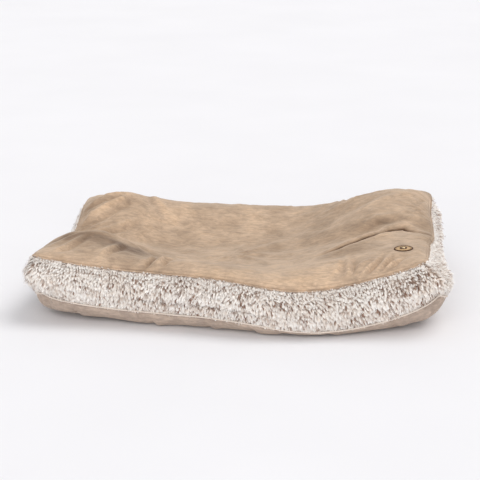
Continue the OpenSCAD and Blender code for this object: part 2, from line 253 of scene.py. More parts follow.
def puff_at(u, v):
    right = RIGHT_PUFF * (1 - 0.30 * bump(v, 0.05, 0.40)) + 0.006 * (1 - ramp(v, -0.36, -0.12))
    left = LEFT_PUFF * (1 + 0.55 * ramp(-v, 0.1, 0.8))
    end = mix(left, right, (1 + np.sign(u)) / 2)
    return mix(LONG_PUFF, end, np.abs(u) ** 6) * (1 - 0.25 * np.abs(u * v) ** 8)


def push_out(points, u, v, distance):
    """Moves points outwards, away from the middle of the cushion, in place."""
    ox, oy = outward(u, v)
    points[..., 0] += ox * distance
    points[..., 1] += oy * distance


# ---- The outline: side names, and u and v along each, anticlockwise ----

SIDES = ("front", "right", "back", "left")


def side_uv(side, s):
    """u and v where s runs from -1 to 1 along a side."""
    one = np.ones_like(s)
    return {"front": (s, -one), "right": (one, s), "back": (-s, one), "left": (-one, -s)}[side]


def half_run(side):
    return HALF_L if side in ("front", "back") else MID_D


def joined_uv(pairs):
    return [np.concatenate(values) for values in zip(*pairs)]


def outline_uv(count):
    """u and v at count places per side all round, closed."""
    s = np.sin(np.linspace(-1, 1, count, endpoint=False) * math.pi / 2)
    return joined_uv(side_uv(side, s) for side in SIDES)


# ---- Meshes ----


def make_object(name, points, faces, smooth=True):
    mesh = bpy.data.meshes.new(name)
    points = np.asarray(points, np.float32).reshape(-1, 3)
    if isinstance(faces, np.ndarray):
        sides = faces.shape[1]
        mesh.vertices.add(len(points))
        mesh.vertices.foreach_set("co", points.ravel())
        mesh.loops.add(faces.size)
        mesh.loops.foreach_set("vertex_index", faces.ravel().astype(np.int32))
        mesh.polygons.add(len(faces))
        mesh.polygons.foreach_set("loop_start", np.arange(0, faces.size, sides, dtype=np.int32))
        mesh.update(calc_edges=True)
        mesh.validate()
    else:
        mesh.from_pydata(points.tolist(), [], faces)
        mesh.update()
    mesh.polygons.foreach_set("use_smooth", np.full(len(mesh.polygons), smooth))
    obj = bpy.data.objects.new(name, mesh)
    scene.collection.objects.link(obj)
    return obj


def grid_faces(rows, cols, first=0, flip=False, wrap=False):
    """Quads over a grid of rows by cols points; wrap joins the last column to the first."""
    j, i = np.meshgrid(np.arange(rows - 1), np.arange(cols if wrap else cols - 1), indexing="ij")
    k, m = j * cols + i, j * cols + (i + 1) % cols
    quads = np.stack([k, m, m + cols, k + cols], -1).reshape(-1, 4) + first
    return quads[:, ::-1] if flip else quads


def grid_rim(rows, cols):
    """Numbers of the points round the rim of a grid, in order."""
    grid = np.arange(rows * cols).reshape(rows, cols)
    return np.concatenate([grid[0, :-1], grid[:-1, -1], grid[-1, :0:-1], grid[:0:-1, 0]])


def grid_normals(points):
    return unit(np.cross(np.gradient(points, axis=1), np.gradient(points, axis=0)))


def shell(name, points, thickness, outer_is_up=True):
    """A closed sheet: points is a grid on its outer side, the inner side lies thickness below."""
    rows, cols = points.shape[:2]
    normals = grid_normals(points) * (1 if outer_is_up else -1)
    inner = points - normals * thickness
    n = rows * cols
    edge = grid_rim(rows, cols)
    after = np.roll(edge, -1)
    wall = np.stack([edge, edge + n, after + n, after], -1)
    outer_faces = grid_faces(rows, cols, 0, not outer_is_up)
    inner_faces = grid_faces(rows, cols, n, outer_is_up)
    quads = np.concatenate([outer_faces, inner_faces, wall if outer_is_up else wall[:, ::-1]])
    return make_object(name, np.concatenate([points.reshape(-1, 3), inner.reshape(-1, 3)]), quads)


def circle(count):
    """Cosines and sines of count angles all round, as columns."""
    angle = np.arange(count) * 2 * math.pi / count
    return np.cos(angle)[:, None], np.sin(angle)[:, None]


def tube(name, path, frame_a, frame_b, radius, sides):
    """A tube along a closed path; frame_a and frame_b are unit vectors across it."""
    cos, sin = circle(sides)
    radius = np.broadcast_to(np.asarray(radius, float), (len(path),))
    spokes = frame_a[:, None] * cos + frame_b[:, None] * sin
    ring = path[:, None] + spokes * radius[:, None, None]
    rows = len(path)
    j, k = np.meshgrid(np.arange(rows), np.arange(sides), indexing="ij")
    a, b = j * sides, ((j + 1) % rows) * sides
    m = (k + 1) % sides
    quads = np.stack([a + k, a + m, b + m, b + k], -1).reshape(-1, 4)
    return make_object(name, ring.reshape(-1, 3), quads.tolist())


def paint(obj, name, values):
    """Gives a mesh a number at every point, for its material to read."""
    layer = obj.data.attributes.new(name, "FLOAT", "POINT")
    layer.data.foreach_set("value", np.asarray(values, np.float32))


def many(name, part_points, part_faces, origins, axes_x, axes_y, axes_z):
    """One object of many copies of a small part, each with its own axes (which carry its scale)."""
    part = np.asarray(part_points, float)
    points = (
        origins[:, None]
        + part[None, :, 0:1] * axes_x[:, None]
        + part[None, :, 1:2] * axes_y[:, None]
        + part[None, :, 2:3] * axes_z[:, None]
    )
    offsets = (np.arange(len(origins)) * len(part))[:, None, None]
    faces = (np.asarray(part_faces)[None] + offsets).reshape(-1, len(part_faces[0]))
    return make_object(name, points.reshape(-1, 3), faces)


# ---- Materials ----


class Surface:
    """A material, with short ways to add nodes to it."""

    def __init__(self, name):
        self.material = bpy.data.materials.new(name)
        self.material.use_nodes = True
        self.nodes = self.material.node_tree.nodes

    def feed(self, socket, value):
        """Links a socket to an output, or sets it to a number, a vector or a colour."""
        if hasattr(value, "is_output"):
            self.material.node_tree.links.new(value, socket)
        else:
            socket.default_value = (*value, 1) if socket.type == "RGBA" else value

    def node(self, kind, sockets, output=0, **settings):
        """Adds a node with its settings and sockets, and gives one of its outputs."""
        node = self.nodes.new(kind)
        for key, value in settings.items():
            setattr(node, key, value)
        for key, value in sockets.items():
            self.feed(node.inputs[key], value)
        return node.outputs[output]

    def attribute(self, name):
        return self.node("ShaderNodeAttribute", {}, "Fac", attribute_name=name)

    def place(self, stretch=(1, 1, 1)):
        """Object coordinates, scaled along each axis."""
        where = self.node("ShaderNodeTexCoord", {}, "Object")
        return self.node("ShaderNodeMapping", {"Vector": where, "Scale": stretch})

    def noise(self, vector, scale, detail=3.0, rough=0.55, distortion=0.0):
        shape = {"Scale": scale, "Detail": detail, "Roughness": rough, "Distortion": distortion}
        return self.node("ShaderNodeTexNoise", {"Vector": vector, **shape}, "Fac")

    def maths(self, operation, a, b):
        return self.node("ShaderNodeMath", {0: a, 1: b}, operation=operation)

    def between(self, factor, low, high):
        """A value that goes from low to high with the factor."""
        return self.node("ShaderNodeMapRange", {"Value": factor, "To Min": low, "To Max": high})

    def ramp(self, factor, stops):
        """A colour for the factor, from stops of a place and a colour."""
        node = self.nodes.new("ShaderNodeValToRGB")
        elements = node.color_ramp.elements
        while len(elements) < len(stops):
            elements.new(0.5)
        for element, (place, colour) in zip(elements, stops):
            element.position = place
            element.color = (*colour, 1)
        self.feed(node.inputs["Fac"], factor)
        return node.outputs["Color"]

    def mix(self, factor, a, b, blend="MIX"):
        sockets = {"Factor": factor, "A": a, "B": b}
        return self.node("ShaderNodeMix", sockets, "Result", data_type="RGBA", blend_type=blend)

    def tint(self, colour, share, factor, stops):
        """Multiplies a colour by a ramp."""
        return self.mix(share, colour, self.ramp(factor, stops), "MULTIPLY")

    def bumps(self, height, strength, distance):
        sockets = {"Height": height, "Strength": strength, "Distance": distance}
        return self.node("ShaderNodeBump", sockets, "Normal")

    def finish(self, sockets):
        """Feeds the shader, and gives the material."""
        shader = self.nodes["Principled BSDF"]
        for key, value in sockets.items():
            self.feed(shader.inputs[key], value)
        return self.material


# How a napped surface changes from a painted highlight, through nap brushed down, to the painted shade
# of a deep crease, then the colours of tufts by their tone, and how they darken from tip to root
NAP_AND_SHADE_STOPS = [
    (0.00, (1.16, 1.14, 1.10)),
    (0.20, (1, 1, 1)),
    (0.60, (0.70, 0.68, 0.66)),
    (1.00, (0.27, 0.22, 0.19)),
]
PILE_STOPS = [
    (0.00, (0.22, 0.11, 0.070)),
    (0.12, (0.38, 0.25, 0.185)),
    (0.20, (0.56, 0.45, 0.385)),
    (0.34, (0.83, 0.745, 0.67)),
    (0.60, (0.96, 0.915, 0.865)),
    (1.00, (0.985, 0.96, 0.93)),
]
ROOT_STOPS = [(0.0, (0.66, 0.55, 0.48)), (0.30, (0.93, 0.895, 0.87)), (0.6, (1, 1, 1))]


def suede(name, light, dark, deep, sheen, napped_and_shaded=False):
    """Napped faux suede: cloudy patches where the nap is brushed each way, and a fine short pile."""
    skin = Surface(name)
    flat = skin.place()
    brushed = skin.place((0.45, 1.0, 1.0))
    clouds = skin.noise(flat, 13.0, 5.0, 0.66, 1.0)
    streaks = skin.noise(brushed, 42.0, 4.0, 0.62, 1.0)
    fibres = skin.noise(flat, 520.0, 3.0, 0.7)
    medium = tuple(0.4 * a + 0.6 * b for a, b in zip(dark, light))
    patch = skin.ramp(clouds, [(0.38, dark), (0.50, medium), (0.62, light)])
    colour = skin.mix(0.34, patch, skin.ramp(streaks, [(0.38, deep), (0.60, light)]))
    slant = {"Vector": flat, "Rotation": (0, 0, 0.6), "Scale": (0.35, 1.0, 1.0)}
    strokes = skin.noise(skin.node("ShaderNodeMapping", slant), 120.0, 3.0, 0.6, 0.7)
    colour = skin.tint(colour, 1.0, strokes, [(0.38, (0.84, 0.84, 0.85)), (0.60, (1.08, 1.07, 1.06))])
    # Darker where the nap is brushed down, with painted shade in creases and fold grooves and painted
    # highlights on fold ridges and crests
    if napped_and_shaded:
        ragged = skin.maths("ADD", skin.attribute("nap"), skin.maths("MULTIPLY", streaks, 0.6))
        colour = skin.tint(colour, 1.0, skin.maths("MULTIPLY", ragged, 0.7), NAP_AND_SHADE_STOPS)
    colour = skin.tint(colour, 0.8, fibres, [(0.30, (0.78, 0.77, 0.76)), (0.70, (1.0, 1.0, 1.0))])
    puckers = skin.noise(brushed, 62.0, 2.0, 0.5, 0.6)
    height = skin.maths("ADD", skin.maths("MULTIPLY", puckers, 5.0), fibres)
    return skin.finish(
        {
            "Base Color": colour,
            "Roughness": skin.between(streaks, 0.80, 0.98),
            "Normal": skin.bumps(height, 0.45, 0.0008),
            "Sheen Weight": sheen,
            "Sheen Roughness": 0.45,
            "Sheen Tint": (1.0, 0.86, 0.72),
            "Specular IOR Level": 0.15,
        }
    )


def pile_material():
    """Tufts of plush: cream with grey and brown among them, darker towards the roots."""
    skin = Surface("plush_pile")
    strands = skin.noise(skin.place((1, 1, 0.2)), 900.0, 2.0)
    colour = skin.ramp(skin.attribute("tone"), PILE_STOPS)
    colour = skin.tint(colour, 1.0, skin.attribute("along"), ROOT_STOPS)
    colour = skin.tint(colour, 0.6, strands, [(0.3, (0.90, 0.88, 0.86)), (0.7, (1, 1, 1))])
    return skin.finish(
        {
            "Base Color": colour,
            "Roughness": 0.85,
            "Normal": skin.bumps(strands, 0.4, 0.0006),
            "Sheen Weight": 0.25,
            "Sheen Roughness": 0.5,
            "Specular IOR Level": 0.2,
        }
    )


def backing_material():
    """The dark base of the plush, seen between its tufts."""
    skin = Surface("plush_backing")
    vector = skin.place((1, 1, 0.5))
    patches = skin.noise(vector, 60.0, 3.0)
    return skin.finish(
        {
            "Base Color": skin.ramp(patches, [(0.35, (0.28, 0.185, 0.135)), (0.65, (0.62, 0.52, 0.45))]),
            "Roughness": 0.95,
            "Normal": skin.bumps(skin.noise(vector, 700.0, 2.0), 0.8, 0.001),
            "Specular IOR Level": 0.1,
        }
    )


def woven(name, light, dark, count, roughness=0.85, strength=0.5):
    """A plain weave of count threads a metre."""
    skin = Surface(name)
    vector = skin.place()
    thread = {"Vector": vector, "Scale": count, "Distortion": 0.6, "Detail": 1.0}
    waves = [skin.node("ShaderNodeTexWave", thread, "Fac", bands_direction=way) for way in "XYZ"]
    weave = skin.maths("MULTIPLY", skin.maths("ADD", waves[0], waves[1]), waves[2])
    soft = skin.maths("MULTIPLY", skin.noise(vector, 30.0, 3.0), 0.4)
    factor = skin.maths("ADD", skin.maths("MULTIPLY", weave, 0.5), soft)
    return skin.finish(
        {
            "Base Color": skin.ramp(factor, [(0.15, dark), (0.75, light)]),
            "Roughness": roughness,
            "Normal": skin.bumps(weave, strength, 0.0004),
            "Specular IOR Level": 0.25,
        }
    )


def leather(name, light, dark, roughness, tooled=False):
    """Grained leather; where it is tooled it is nearly black."""
    skin = Surface(name)
    vector = skin.place()
    cells = skin.node("ShaderNodeTexVoronoi", {"Vector": vector, "Scale": 900.0}, "Distance")
    wear = skin.noise(vector, 120.0, 4.0)
    colour = skin.ramp(wear, [(0.3, dark), (0.7, light)])
    if tooled:
        colour = skin.mix(skin.attribute("tone"), colour, (0.07, 0.03, 0.014))
    return skin.finish(
        {
            "Base Color": colour,
            "Roughness": skin.between(wear, roughness - 0.1, roughness + 0.15),
            "Normal": skin.bumps(cells, 0.35, 0.0004),
            "Specular IOR Level": 0.18,
        }
    )


def metal(name, light, dark, roughness):
    """Metal worn in fine streaks."""
    skin = Surface(name)
    wear = skin.noise(skin.place((1, 1, 6)), 260.0, 4.0)
    return skin.finish(
        {
            "Base Color": skin.ramp(wear, [(0.3, dark), (0.7, light)]),
            "Roughness": skin.between(wear, roughness - 0.08, roughness + 0.12),
            "Normal": skin.bumps(wear, 0.1, 0.0002),
            "Metallic": 1.0,
        }
    )


def dress(obj, material, replaced=(), body="cushion"):
    """Gives a piece its material and its body, and hides the parts of the frame that it stands for."""
    obj.data.materials.clear()
    obj.data.materials.append(MATERIALS[material])
    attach(obj, body)
    if replaced:
        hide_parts(*replaced)
    return obj


MATERIALS = {
    "top": suede(
        "top_suede", (0.62, 0.458, 0.325), (0.455, 0.332, 0.233), (0.375, 0.268, 0.188), 0.42, napped_and_shaded=True
    ),
    "base": suede("base_suede", (0.56, 0.448, 0.37), (0.41, 0.325, 0.268), (0.35, 0.275, 0.228), 0.3),
    "roll": suede("seam_suede", (0.58, 0.42, 0.30), (0.40, 0.29, 0.205), (0.34, 0.25, 0.18), 0.4),
    "edge": woven("base_edge_tape", (0.88, 0.79, 0.70), (0.73, 0.62, 0.53), 700.0),
    "pile": pile_material(),
    "backing": backing_material(),
    "thread": woven("stitch_thread", (0.50, 0.37, 0.27), (0.30, 0.21, 0.15), 1800.0, 0.6),
    "dark_thread": woven("badge_thread", (0.11, 0.048, 0.025), (0.05, 0.02, 0.010), 1800.0, 0.55),
    "badge": leather("badge_leather", (0.62, 0.42, 0.23), (0.46, 0.29, 0.14), 0.45, tooled=True),
    "brass": metal("stud_brass", (0.92, 0.76, 0.50), (0.70, 0.52, 0.28), 0.30),
    "tape": woven("zip_tape", (0.30, 0.235, 0.19), (0.18, 0.14, 0.11), 1500.0),
    "nylon": woven("zip_nylon", (0.24, 0.19, 0.155), (0.16, 0.125, 0.10), 2500.0, 0.4, 0.1),
    "steel": metal("zip_metal", (0.62, 0.61, 0.60), (0.42, 0.41, 0.40), 0.3),
    "tab": leather("pull_leather", (0.30, 0.18, 0.10), (0.18, 0.10, 0.055), 0.5),
    "label": woven("label_satin", (0.90, 0.88, 0.84), (0.78, 0.76, 0.72), 2200.0, 0.5),
    "ticking": woven("pad_ticking", (0.86, 0.83, 0.77), (0.72, 0.69, 0.62), 900.0),
    "fibre": woven("hollow_fibre", (0.95, 0.95, 0.94), (0.80, 0.80, 0.79), 300.0, 0.95),
}


# ---- Top panel: lobes, folds and wrinkles ----

TOP_COLS, TOP_ROWS = 264, 184
SUEDE_SKIN = 0.0018
EDGE_CROWDING = 0.35
BADGE_STEP = 0.02
badge_u, badge_v = np.array(BADGE_UV)
badge_middle = top_at(badge_u, badge_v)
badge_du = top_at(badge_u + BADGE_STEP, badge_v) - badge_middle
badge_dv = top_at(badge_u, badge_v + BADGE_STEP) - badge_middle
badge_normal = unit(np.cross(badge_du, badge_dv))

# The creases, as u, v and strength at places along them: the one between the two right lobes, the
# crest of the front left lobe, and the tuck in the front edge
RIGHT_FOLD = [
    (0.40, -0.34, 0),
    (0.48, -0.335, 0.30),
    (0.54, -0.34, 0.60),
    (0.605, -0.29, 0.90),
    (0.69, -0.17, 1.0),
    (0.77, 0.0, 1.0),
    (0.84, 0.03, 0.75),
    (0.91, -0.07, 0.40),
    (0.99, -0.15, 0.15),
]
LEFT_CREST = [
    (-0.99, -0.80, 0),
    (-0.90, -0.66, 0.50),
    (-0.82, -0.53, 1.0),
    (-0.745, -0.50, 1.0),
    (-0.68, -0.43, 1.0),
    (-0.61, -0.36, 0.90),
    (-0.52, -0.36, 0.70),
    (-0.44, -0.50, 0.40),
    (-0.38, -0.66, 0),
]
FRONT_TUCK = [
    (-0.420, -1.00, 0.50),
    (-0.400, -0.94, 1.0),
    (-0.385, -0.88, 1.0),
    (-0.372, -0.80, 0.70),
    (-0.380, -0.66, 0),
]
# Softer folds: ridge height, half-width, then places in u and v
FOLDS = [
    (
        0.0075,
        0.013,
        [(-1.0, 0.30), (-0.93, 0.37), (-0.88, 0.40), (-0.82, 0.48), (-0.77, 0.56), (-0.70, 0.72)],
    ),
    (0.0045, 0.008, [(-0.98, 0.38), (-0.90, 0.43), (-0.85, 0.47), (-0.78, 0.58)]),
    (0.0060, 0.011, [(-0.99, 0.56), (-0.90, 0.61), (-0.86, 0.63), (-0.80, 0.66), (-0.70, 0.70)]),
    (0.0050, 0.012, [(-0.97, 0.10), (-0.86, 0.16), (-0.74, 0.28), (-0.62, 0.46)]),
    (0.0045, 0.014, [(-0.62, 0.95), (-0.56, 0.74), (-0.46, 0.52)]),
    (0.0040, 0.010, [(-0.93, -0.95), (-0.86, -0.82), (-0.80, -0.68), (-0.78, -0.56)]),
    (0.0045, 0.010, [(-0.66, -0.99), (-0.64, -0.84), (-0.60, -0.68), (-0.58, -0.50)]),
    (0.0060, 0.008, [(-0.33, -0.99), (-0.345, -0.93), (-0.33, -0.84), (-0.28, -0.74)]),
    (0.0060, 0.007, [(0.765, -1.0), (0.80, -0.94), (0.832, -0.894), (0.87, -0.80)]),
    (0.0065, 0.008, [(0.735, -1.0), (0.77, -0.90), (0.79, -0.83), (0.80, -0.70)]),
    (0.0055, 0.007, [(0.655, -1.0), (0.70, -0.91), (0.74, -0.80), (0.75, -0.68)]),
    (0.0055, 0.009, [(0.625, -1.0), (0.61, -0.86), (0.595, -0.70), (0.575, -0.52)]),
    (0.0030, 0.010, [(0.50, -1.0), (0.54, -0.84), (0.55, -0.68), (0.53, -0.55)]),
    (0.0040, 0.007, [(1.0, 0.69), (0.97, 0.56), (0.93, 0.42)]),
    (0.0040, 0.007, [(1.0, 0.44), (0.95, 0.34), (0.89, 0.23)]),
    (0.0020, 0.018, [(0.97, 0.80), (0.80, 0.56), (0.62, 0.42), (0.42, 0.34)]),
    (0.0025, 0.012, [(0.90, 0.95), (0.72, 0.78), (0.52, 0.66), (0.36, 0.66)]),
    (0.0040, 0.012, [(0.56, 0.10), (0.70, 0.20), (0.86, 0.22)]),
]
# Fans of wrinkles: apex in x and y, heading, spread, ribs, height, reach, seed
FANS = [
    ((-0.55, 0.06), 46, 36, 4.5, 0.0060, 0.24, 21),
    ((-0.225, -0.335), 95, 75, 3.5, 0.0050, 0.085, 22),
    ((0.31, -0.37), 68, 55, 4.5, 0.0045, 0.17, 23),
    ((0.40, -0.38), 50, 40, 3.5, 0.0040, 0.13, 27),
    ((0.575, 0.15), 178, 42, 5.5, 0.0034, 0.15, 24),
    ((-0.03, -0.02), 0, 180, 9.0, 0.0036, 0.30, 25),
    ((0.30, 0.42), -110, 40, 3.5, 0.0036, 0.20, 26),
]


def crowded(count, share=EDGE_CROWDING):
    """Places from -1 to 1 that stand closer together towards both ends."""
    t = np.linspace(-1, 1, count)
    return mix(t, np.sin(t * math.pi / 2), share)


def fan(x, y, apex, heading, spread, ribs, height, reach, seed):
    """Wrinkles that run out from an apex like the ribs of a fan. Angles are in degrees."""
    dx, dy = x - apex[0], y - apex[1]
    away = np.hypot(dx, dy)
    turn = np.degrees(np.arctan2(dy, dx)) - heading
    turn = (turn + 180) % 360 - 180 + 7 * noise(x, y, 0.05, seed) + 3 * noise(x, y, 0.02, seed + 50)
    waves = np.cos(np.clip(turn / spread, -1, 1) * math.pi * ribs)
    sharp = 2 * np.abs(0.5 + 0.5 * waves) ** 2.2 - 1
    uneven = 0.65 + 0.35 * noise(turn / 10, away / 0.2, 1.0, seed + 60)
    window = np.clip(1 - (turn / spread) ** 2, 0, 1) * ramp(away, 0.004, 0.05)
    window = window * np.exp(-((away / reach) ** 2))
    return height * sharp * uneven * window


def along_path(u, v, path):
    """Signed distance in metres from a path of u, v and strength, and the strength there."""
    best = np.full(np.shape(u), 9.0)
    side = np.zeros(np.shape(u))
    level = np.zeros(np.shape(u))
    x, y = u * HALF_L, v * MID_D
    for (au, av, first), (bu, bv, last) in zip(path[:-1], path[1:]):
        ax, ay = au * HALF_L, av * MID_D
        bx, by = bu * HALF_L, bv * MID_D
        length = math.hypot(bx - ax, by - ay)
        tx, ty = (bx - ax) / length, (by - ay) / length
        run = np.clip(((x - ax) * tx + (y - ay) * ty) / length, 0, 1)
        away = np.hypot(x - ax - run * length * tx, y - ay - run * length * ty)
        nearer = away < best
        best = np.where(nearer, away, best)
        side = np.where(nearer, np.sign((y - ay) * tx - (x - ax) * ty), side)
        level = np.where(nearer, mix(first, last, run), level)
    return best * side, level


def soft_fold(u, v, height, width, path):
    """A rounded ridge with a shallow groove in front of it, which fades at both ends."""
    last = len(path) - 1
    across, level = along_path(u, v, [(*place, int(0 < k < last)) for k, place in enumerate(path)])
    return 1.5 * height * level * (bump(across, 0, width) - 0.75 * bump(across, -1.7 * width, width))


def top_detail(u, v, x, y):
    """Height of the folds, wrinkles and lumps of the filling over the smooth top."""
    edge, round_edge = from_edge(u, v, x, y)
    lumps = 0.0042 * noise(x, y, 0.095, 11) + 0.0022 * noise(x, y, 0.045, 12)
    lumps = lumps + 0.0009 * noise(x, y, 0.020, 15)
    ripples = noise(round_edge, edge * 0.25, 0.018, 13) + 0.7 * noise(round_edge, edge * 0.2, 0.010, 14)
    gathers = 0.0026 * ripples * np.exp(-edge / 0.028) * ramp(edge, 0.0, 0.010)
    pulls = sum(fan(x, y, *row) for row in FANS)
    pulls = pulls + sum(soft_fold(u, v, *fold) for fold in FOLDS)
    return lumps * ramp(edge, 0, 0.05) + gathers + pulls * ramp(edge, -0.01, 0.03)


def top_surface(u, v):
    """The top panel as it lies, with every fold."""
    points = top_at(u, v)
    x, y = points[..., 0], points[..., 1]
    detail = top_detail(u, v, x, y)
    across, level = along_path(u, v, RIGHT_FOLD)
    detail += level * (0.010 * bump(across, 0.022, 0.014) + 0.005 * bump(across, -0.016, 0.015))
    detail -= level * 0.019 * np.exp(-((np.abs(across - 0.004) / 0.0070) ** 2))
    points[..., 1] += level * (0.004 * bump(across, -0.004, 0.006) - 0.004 * bump(across, 0.013, 0.007))
    across, level = along_path(u, v, LEFT_CREST)
    detail += level * (0.006 * bump(across, -0.010, 0.016) - 0.012 * bump(across, 0.026, 0.020))
    across, level = along_path(u, v, FRONT_TUCK)
    detail += level * (0.007 * bump(across, 0.015, 0.012) + 0.008 * bump(across, -0.016, 0.012))
    detail -= level * 0.013 * np.exp(-((np.abs(across) / 0.006) ** 1.5))
    rise = np.minimum(1, rim_rise(u, v) * 1.6)
    from_badge = np.linalg.norm(points - badge_middle, axis=-1)
    points[..., 2] += detail * ramp(from_badge, 0.030, 0.065) * rise
    seat = badge_middle + badge_normal * (BADGE_LIFT - 0.0002)
    height = ((seat - points) @ badge_normal) * (1 - ramp(from_badge, 0.031, 0.060))
    return points + height[..., None] * badge_normal


def top_grid(cols, rows):
    """u and v over the top; the rows bunch together along the creases."""
    u, v = np.meshgrid(crowded(cols), crowded(rows))
    for crease in (RIGHT_FOLD, LEFT_CREST):
        places_u, places_v, strength = zip(*crease)
        crease_v = np.interp(u, places_u, places_v)
        pull = 0.70 * np.sqrt(np.interp(u, places_u, strength, 0, 0)) * (1 - v**16)
        v = v - pull * (v - crease_v) * bump(v, crease_v, 0.14)
    return u, v


# Darker patches, from nap brushed down and from painted shade as on the upper front left slope: u, v,
# half-widths, strength
NAP_AND_SHADE_PATCHES = [
    (-0.80, -0.62, 0.24, 0.17, 0.95),
    (-0.50, -0.62, 0.14, 0.22, 0.80),
    (-0.90, -0.25, 0.10, 0.25, 0.45),
    (-0.95, 0.50, 0.06, 0.45, 0.50),
    (-0.76, 0.36, 0.08, 0.14, 0.25),
    (0.58, -0.42, 0.20, 0.12, 0.50),
    (0.70, 0.14, 0.26, 0.10, 0.50),
    (0.97, 0.10, 0.07, 0.60, 0.50),
    (0.60, 0.93, 0.40, 0.10, 0.45),
    (0.20, 0.20, 0.40, 0.30, 0.25),
    (0.45, 0.55, 0.16, 0.25, 0.35),
]


def nap_and_shade_at(u, v):
    """How far the nap is brushed down, with painted highlights on ridges and crests and painted shade in
    grooves and creases.
    """
    patches = sum(level * bump(u, pu, wu) * bump(v, pv, wv) for pu, pv, wu, wv, level in NAP_AND_SHADE_PATCHES)
    x, y = u * HALF_L, v * MID_D
    patches = patches + 0.22 * noise(x, y, 0.070, 91) + 0.16 * noise(x, y, 0.028, 92)
    # Painted highlights on the ridges of the soft folds, painted shade in their grooves
    patches = patches - 40 * sum(soft_fold(u, v, *fold) for fold in FOLDS)
    # A line of painted shade in the right crease, with painted highlights on its lips
    across, level = along_path(u, v, RIGHT_FOLD)
    patches = patches + 2.7 * level**1.5 * bump(across, 0.0063, 0.0052)
    patches = patches - 0.30 * level * bump(across, -0.014, 0.010)
    patches = patches - 0.40 * level * bump(across, 0.031, 0.010)
    # Painted shade in the front tuck
    across, level = along_path(u, v, FRONT_TUCK)
    patches = patches + 0.5 * level * bump(across, 0.0, 0.006)
    # Painted shade behind the left crest, and a painted highlight on it
    across, level = along_path(u, v, LEFT_CREST)
    patches = patches + level * (0.55 * bump(across, 0.026, 0.020) - 0.45 * bump(across, 0.0, 0.010))
    return np.clip(patches, -0.4, 1.4)


def build_top():
    u, v = top_grid(TOP_COLS, TOP_ROWS)
    cover = shell("top_cover", top_surface(u, v), SUEDE_SKIN)
    # The nap attribute carries brushed nap with painted shade and painted highlights
    paint(cover, "nap", np.tile(nap_and_shade_at(u, v).ravel(), 2))
    dress(cover, "top", ["top_panel"])


# ---- Base panel ----

BASE_COLS, BASE_ROWS = 250, 180
BASE_CROWDING = 0.8
STRIP_START, STRIP_END = 0.672, 0.992
BASE_TUCKS = (-0.80, -0.41, -0.13, 0.09, 0.47, 0.78)


def base_points(cols, rows):
    """The base panel as it lies, with a little slack and a few tucks near its edge."""
    u, v = np.meshgrid(crowded(cols, BASE_CROWDING), crowded(rows, BASE_CROWDING))
    points = base_at(u, v)
    edge, round_edge = from_edge(u, v, points[..., 0], points[..., 1])
    slack = 0.0032 * noise(round_edge, 0 * edge, 0.050, 31) + 0.0012 * noise(round_edge, edge, 0.018, 32)
    tucks = np.zeros_like(slack)
    for place in BASE_TUCKS:
        line = round_edge - place * HALF_L - 0.25 * edge
        tucks += 0.0070 * np.exp(-np.abs(line) / 0.006) - 0.0030 * bump(line, 0.018, 0.012)
    dent = (slack + tucks) * np.exp(-(((edge - 0.022) / 0.020) ** 2)) * ramp(edge, -0.004, 0.012)
    points = points + grid_normals(points) * dent[..., None]
    points[..., 2] = np.maximum(points[..., 2], 0)
    return points


def build_base():
    points = base_points(BASE_COLS, BASE_ROWS)
    cover = shell("base_cover", points, SUEDE_SKIN, outer_is_up=False)
    dress(cover, "base", ["base_panel"])
    build_strip("back_strip_left", -1)
    build_strip("back_strip_right", 1)


def build_strip(node, side):
    """The plain cloth between a back corner and the end of the zip."""
    near_end, far_end = sorted((side * STRIP_START, side * STRIP_END))
    u, t = np.meshgrid(np.linspace(far_end, near_end, 60), np.linspace(0, 1, 8))
    points = base_at(u, np.ones_like(u), SUEDE_T + 0.0006)
    points[..., 2] += t * (ZIP_H - 0.0016)
    ruffle = 0.0006 * noise(points[..., 0], points[..., 2], 0.012, 33)
    points[..., 1] += 0.0012 * np.sin(math.pi * t) + ruffle
    strip = shell(node + "_cloth", points, SUEDE_SKIN)
    dress(strip, "base", [node])


# ---- Inner pad: a ticking case full of loose fibre, seen only if the cover is opened ----

PAD_COLS, PAD_ROWS, PAD_LEVELS = 120, 84, 9
WALL_SLACK = 0.017
# How far to both sides along v the pad looks for the lowest place of the cover over it
NEIGHBOURS = (-0.045, -0.03, -0.015, 0.015, 0.03, 0.045)


def pad_mesh(name, gap, below_top, above_base, lumps, seed):
    """A closed pad that follows the cover at a distance."""
    u, v = np.meshgrid(np.linspace(-1, 1, PAD_COLS), np.linspace(-1, 1, PAD_ROWS))
    a, b = drawn_in(u, v, gap)
    top = top_surface(a, b)
    x, y = top[..., 0], top[..., 1]
    close_by = [top_surface(a, np.clip(b + shift, -1, 1))[..., 2] for shift in NEIGHBOURS]
    lowest = np.minimum(top[..., 2], np.min(close_by, 0))
    top[..., 2] = mix(top[..., 2], lowest, ramp(1 - np.abs(v), 0.02, 0.12))
    top[..., 2] -= below_top + lumps * (1 + noise(x, y, 0.03, seed))
    base = base_at(a, b)
    base[..., 2] += above_base + lumps * (1 + noise(x, y, 0.03, seed + 1))
    base[..., 2] = np.minimum(base[..., 2], top[..., 2] - 0.02)
    base, top = base.reshape(-1, 3), top.reshape(-1, 3)
    n = len(top)
    rim = grid_rim(PAD_ROWS, PAD_COLS)
    walls = pad_walls(base[rim], top[rim], u.ravel()[rim], v.ravel()[rim])
    quads = [grid_faces(PAD_ROWS, PAD_COLS, 0, True), grid_faces(PAD_ROWS, PAD_COLS, n)]
    wall_loops = [2 * n + k * len(rim) + np.arange(len(rim)) for k in range(len(walls))]
    loops = [rim, *wall_loops, rim + n]
    for below, above in zip(loops[:-1], loops[1:]):
        quads.append(np.stack([below, np.roll(below, -1), np.roll(above, -1), above], -1))
    return make_object(name, np.concatenate([base, top, *walls]), np.concatenate(quads))


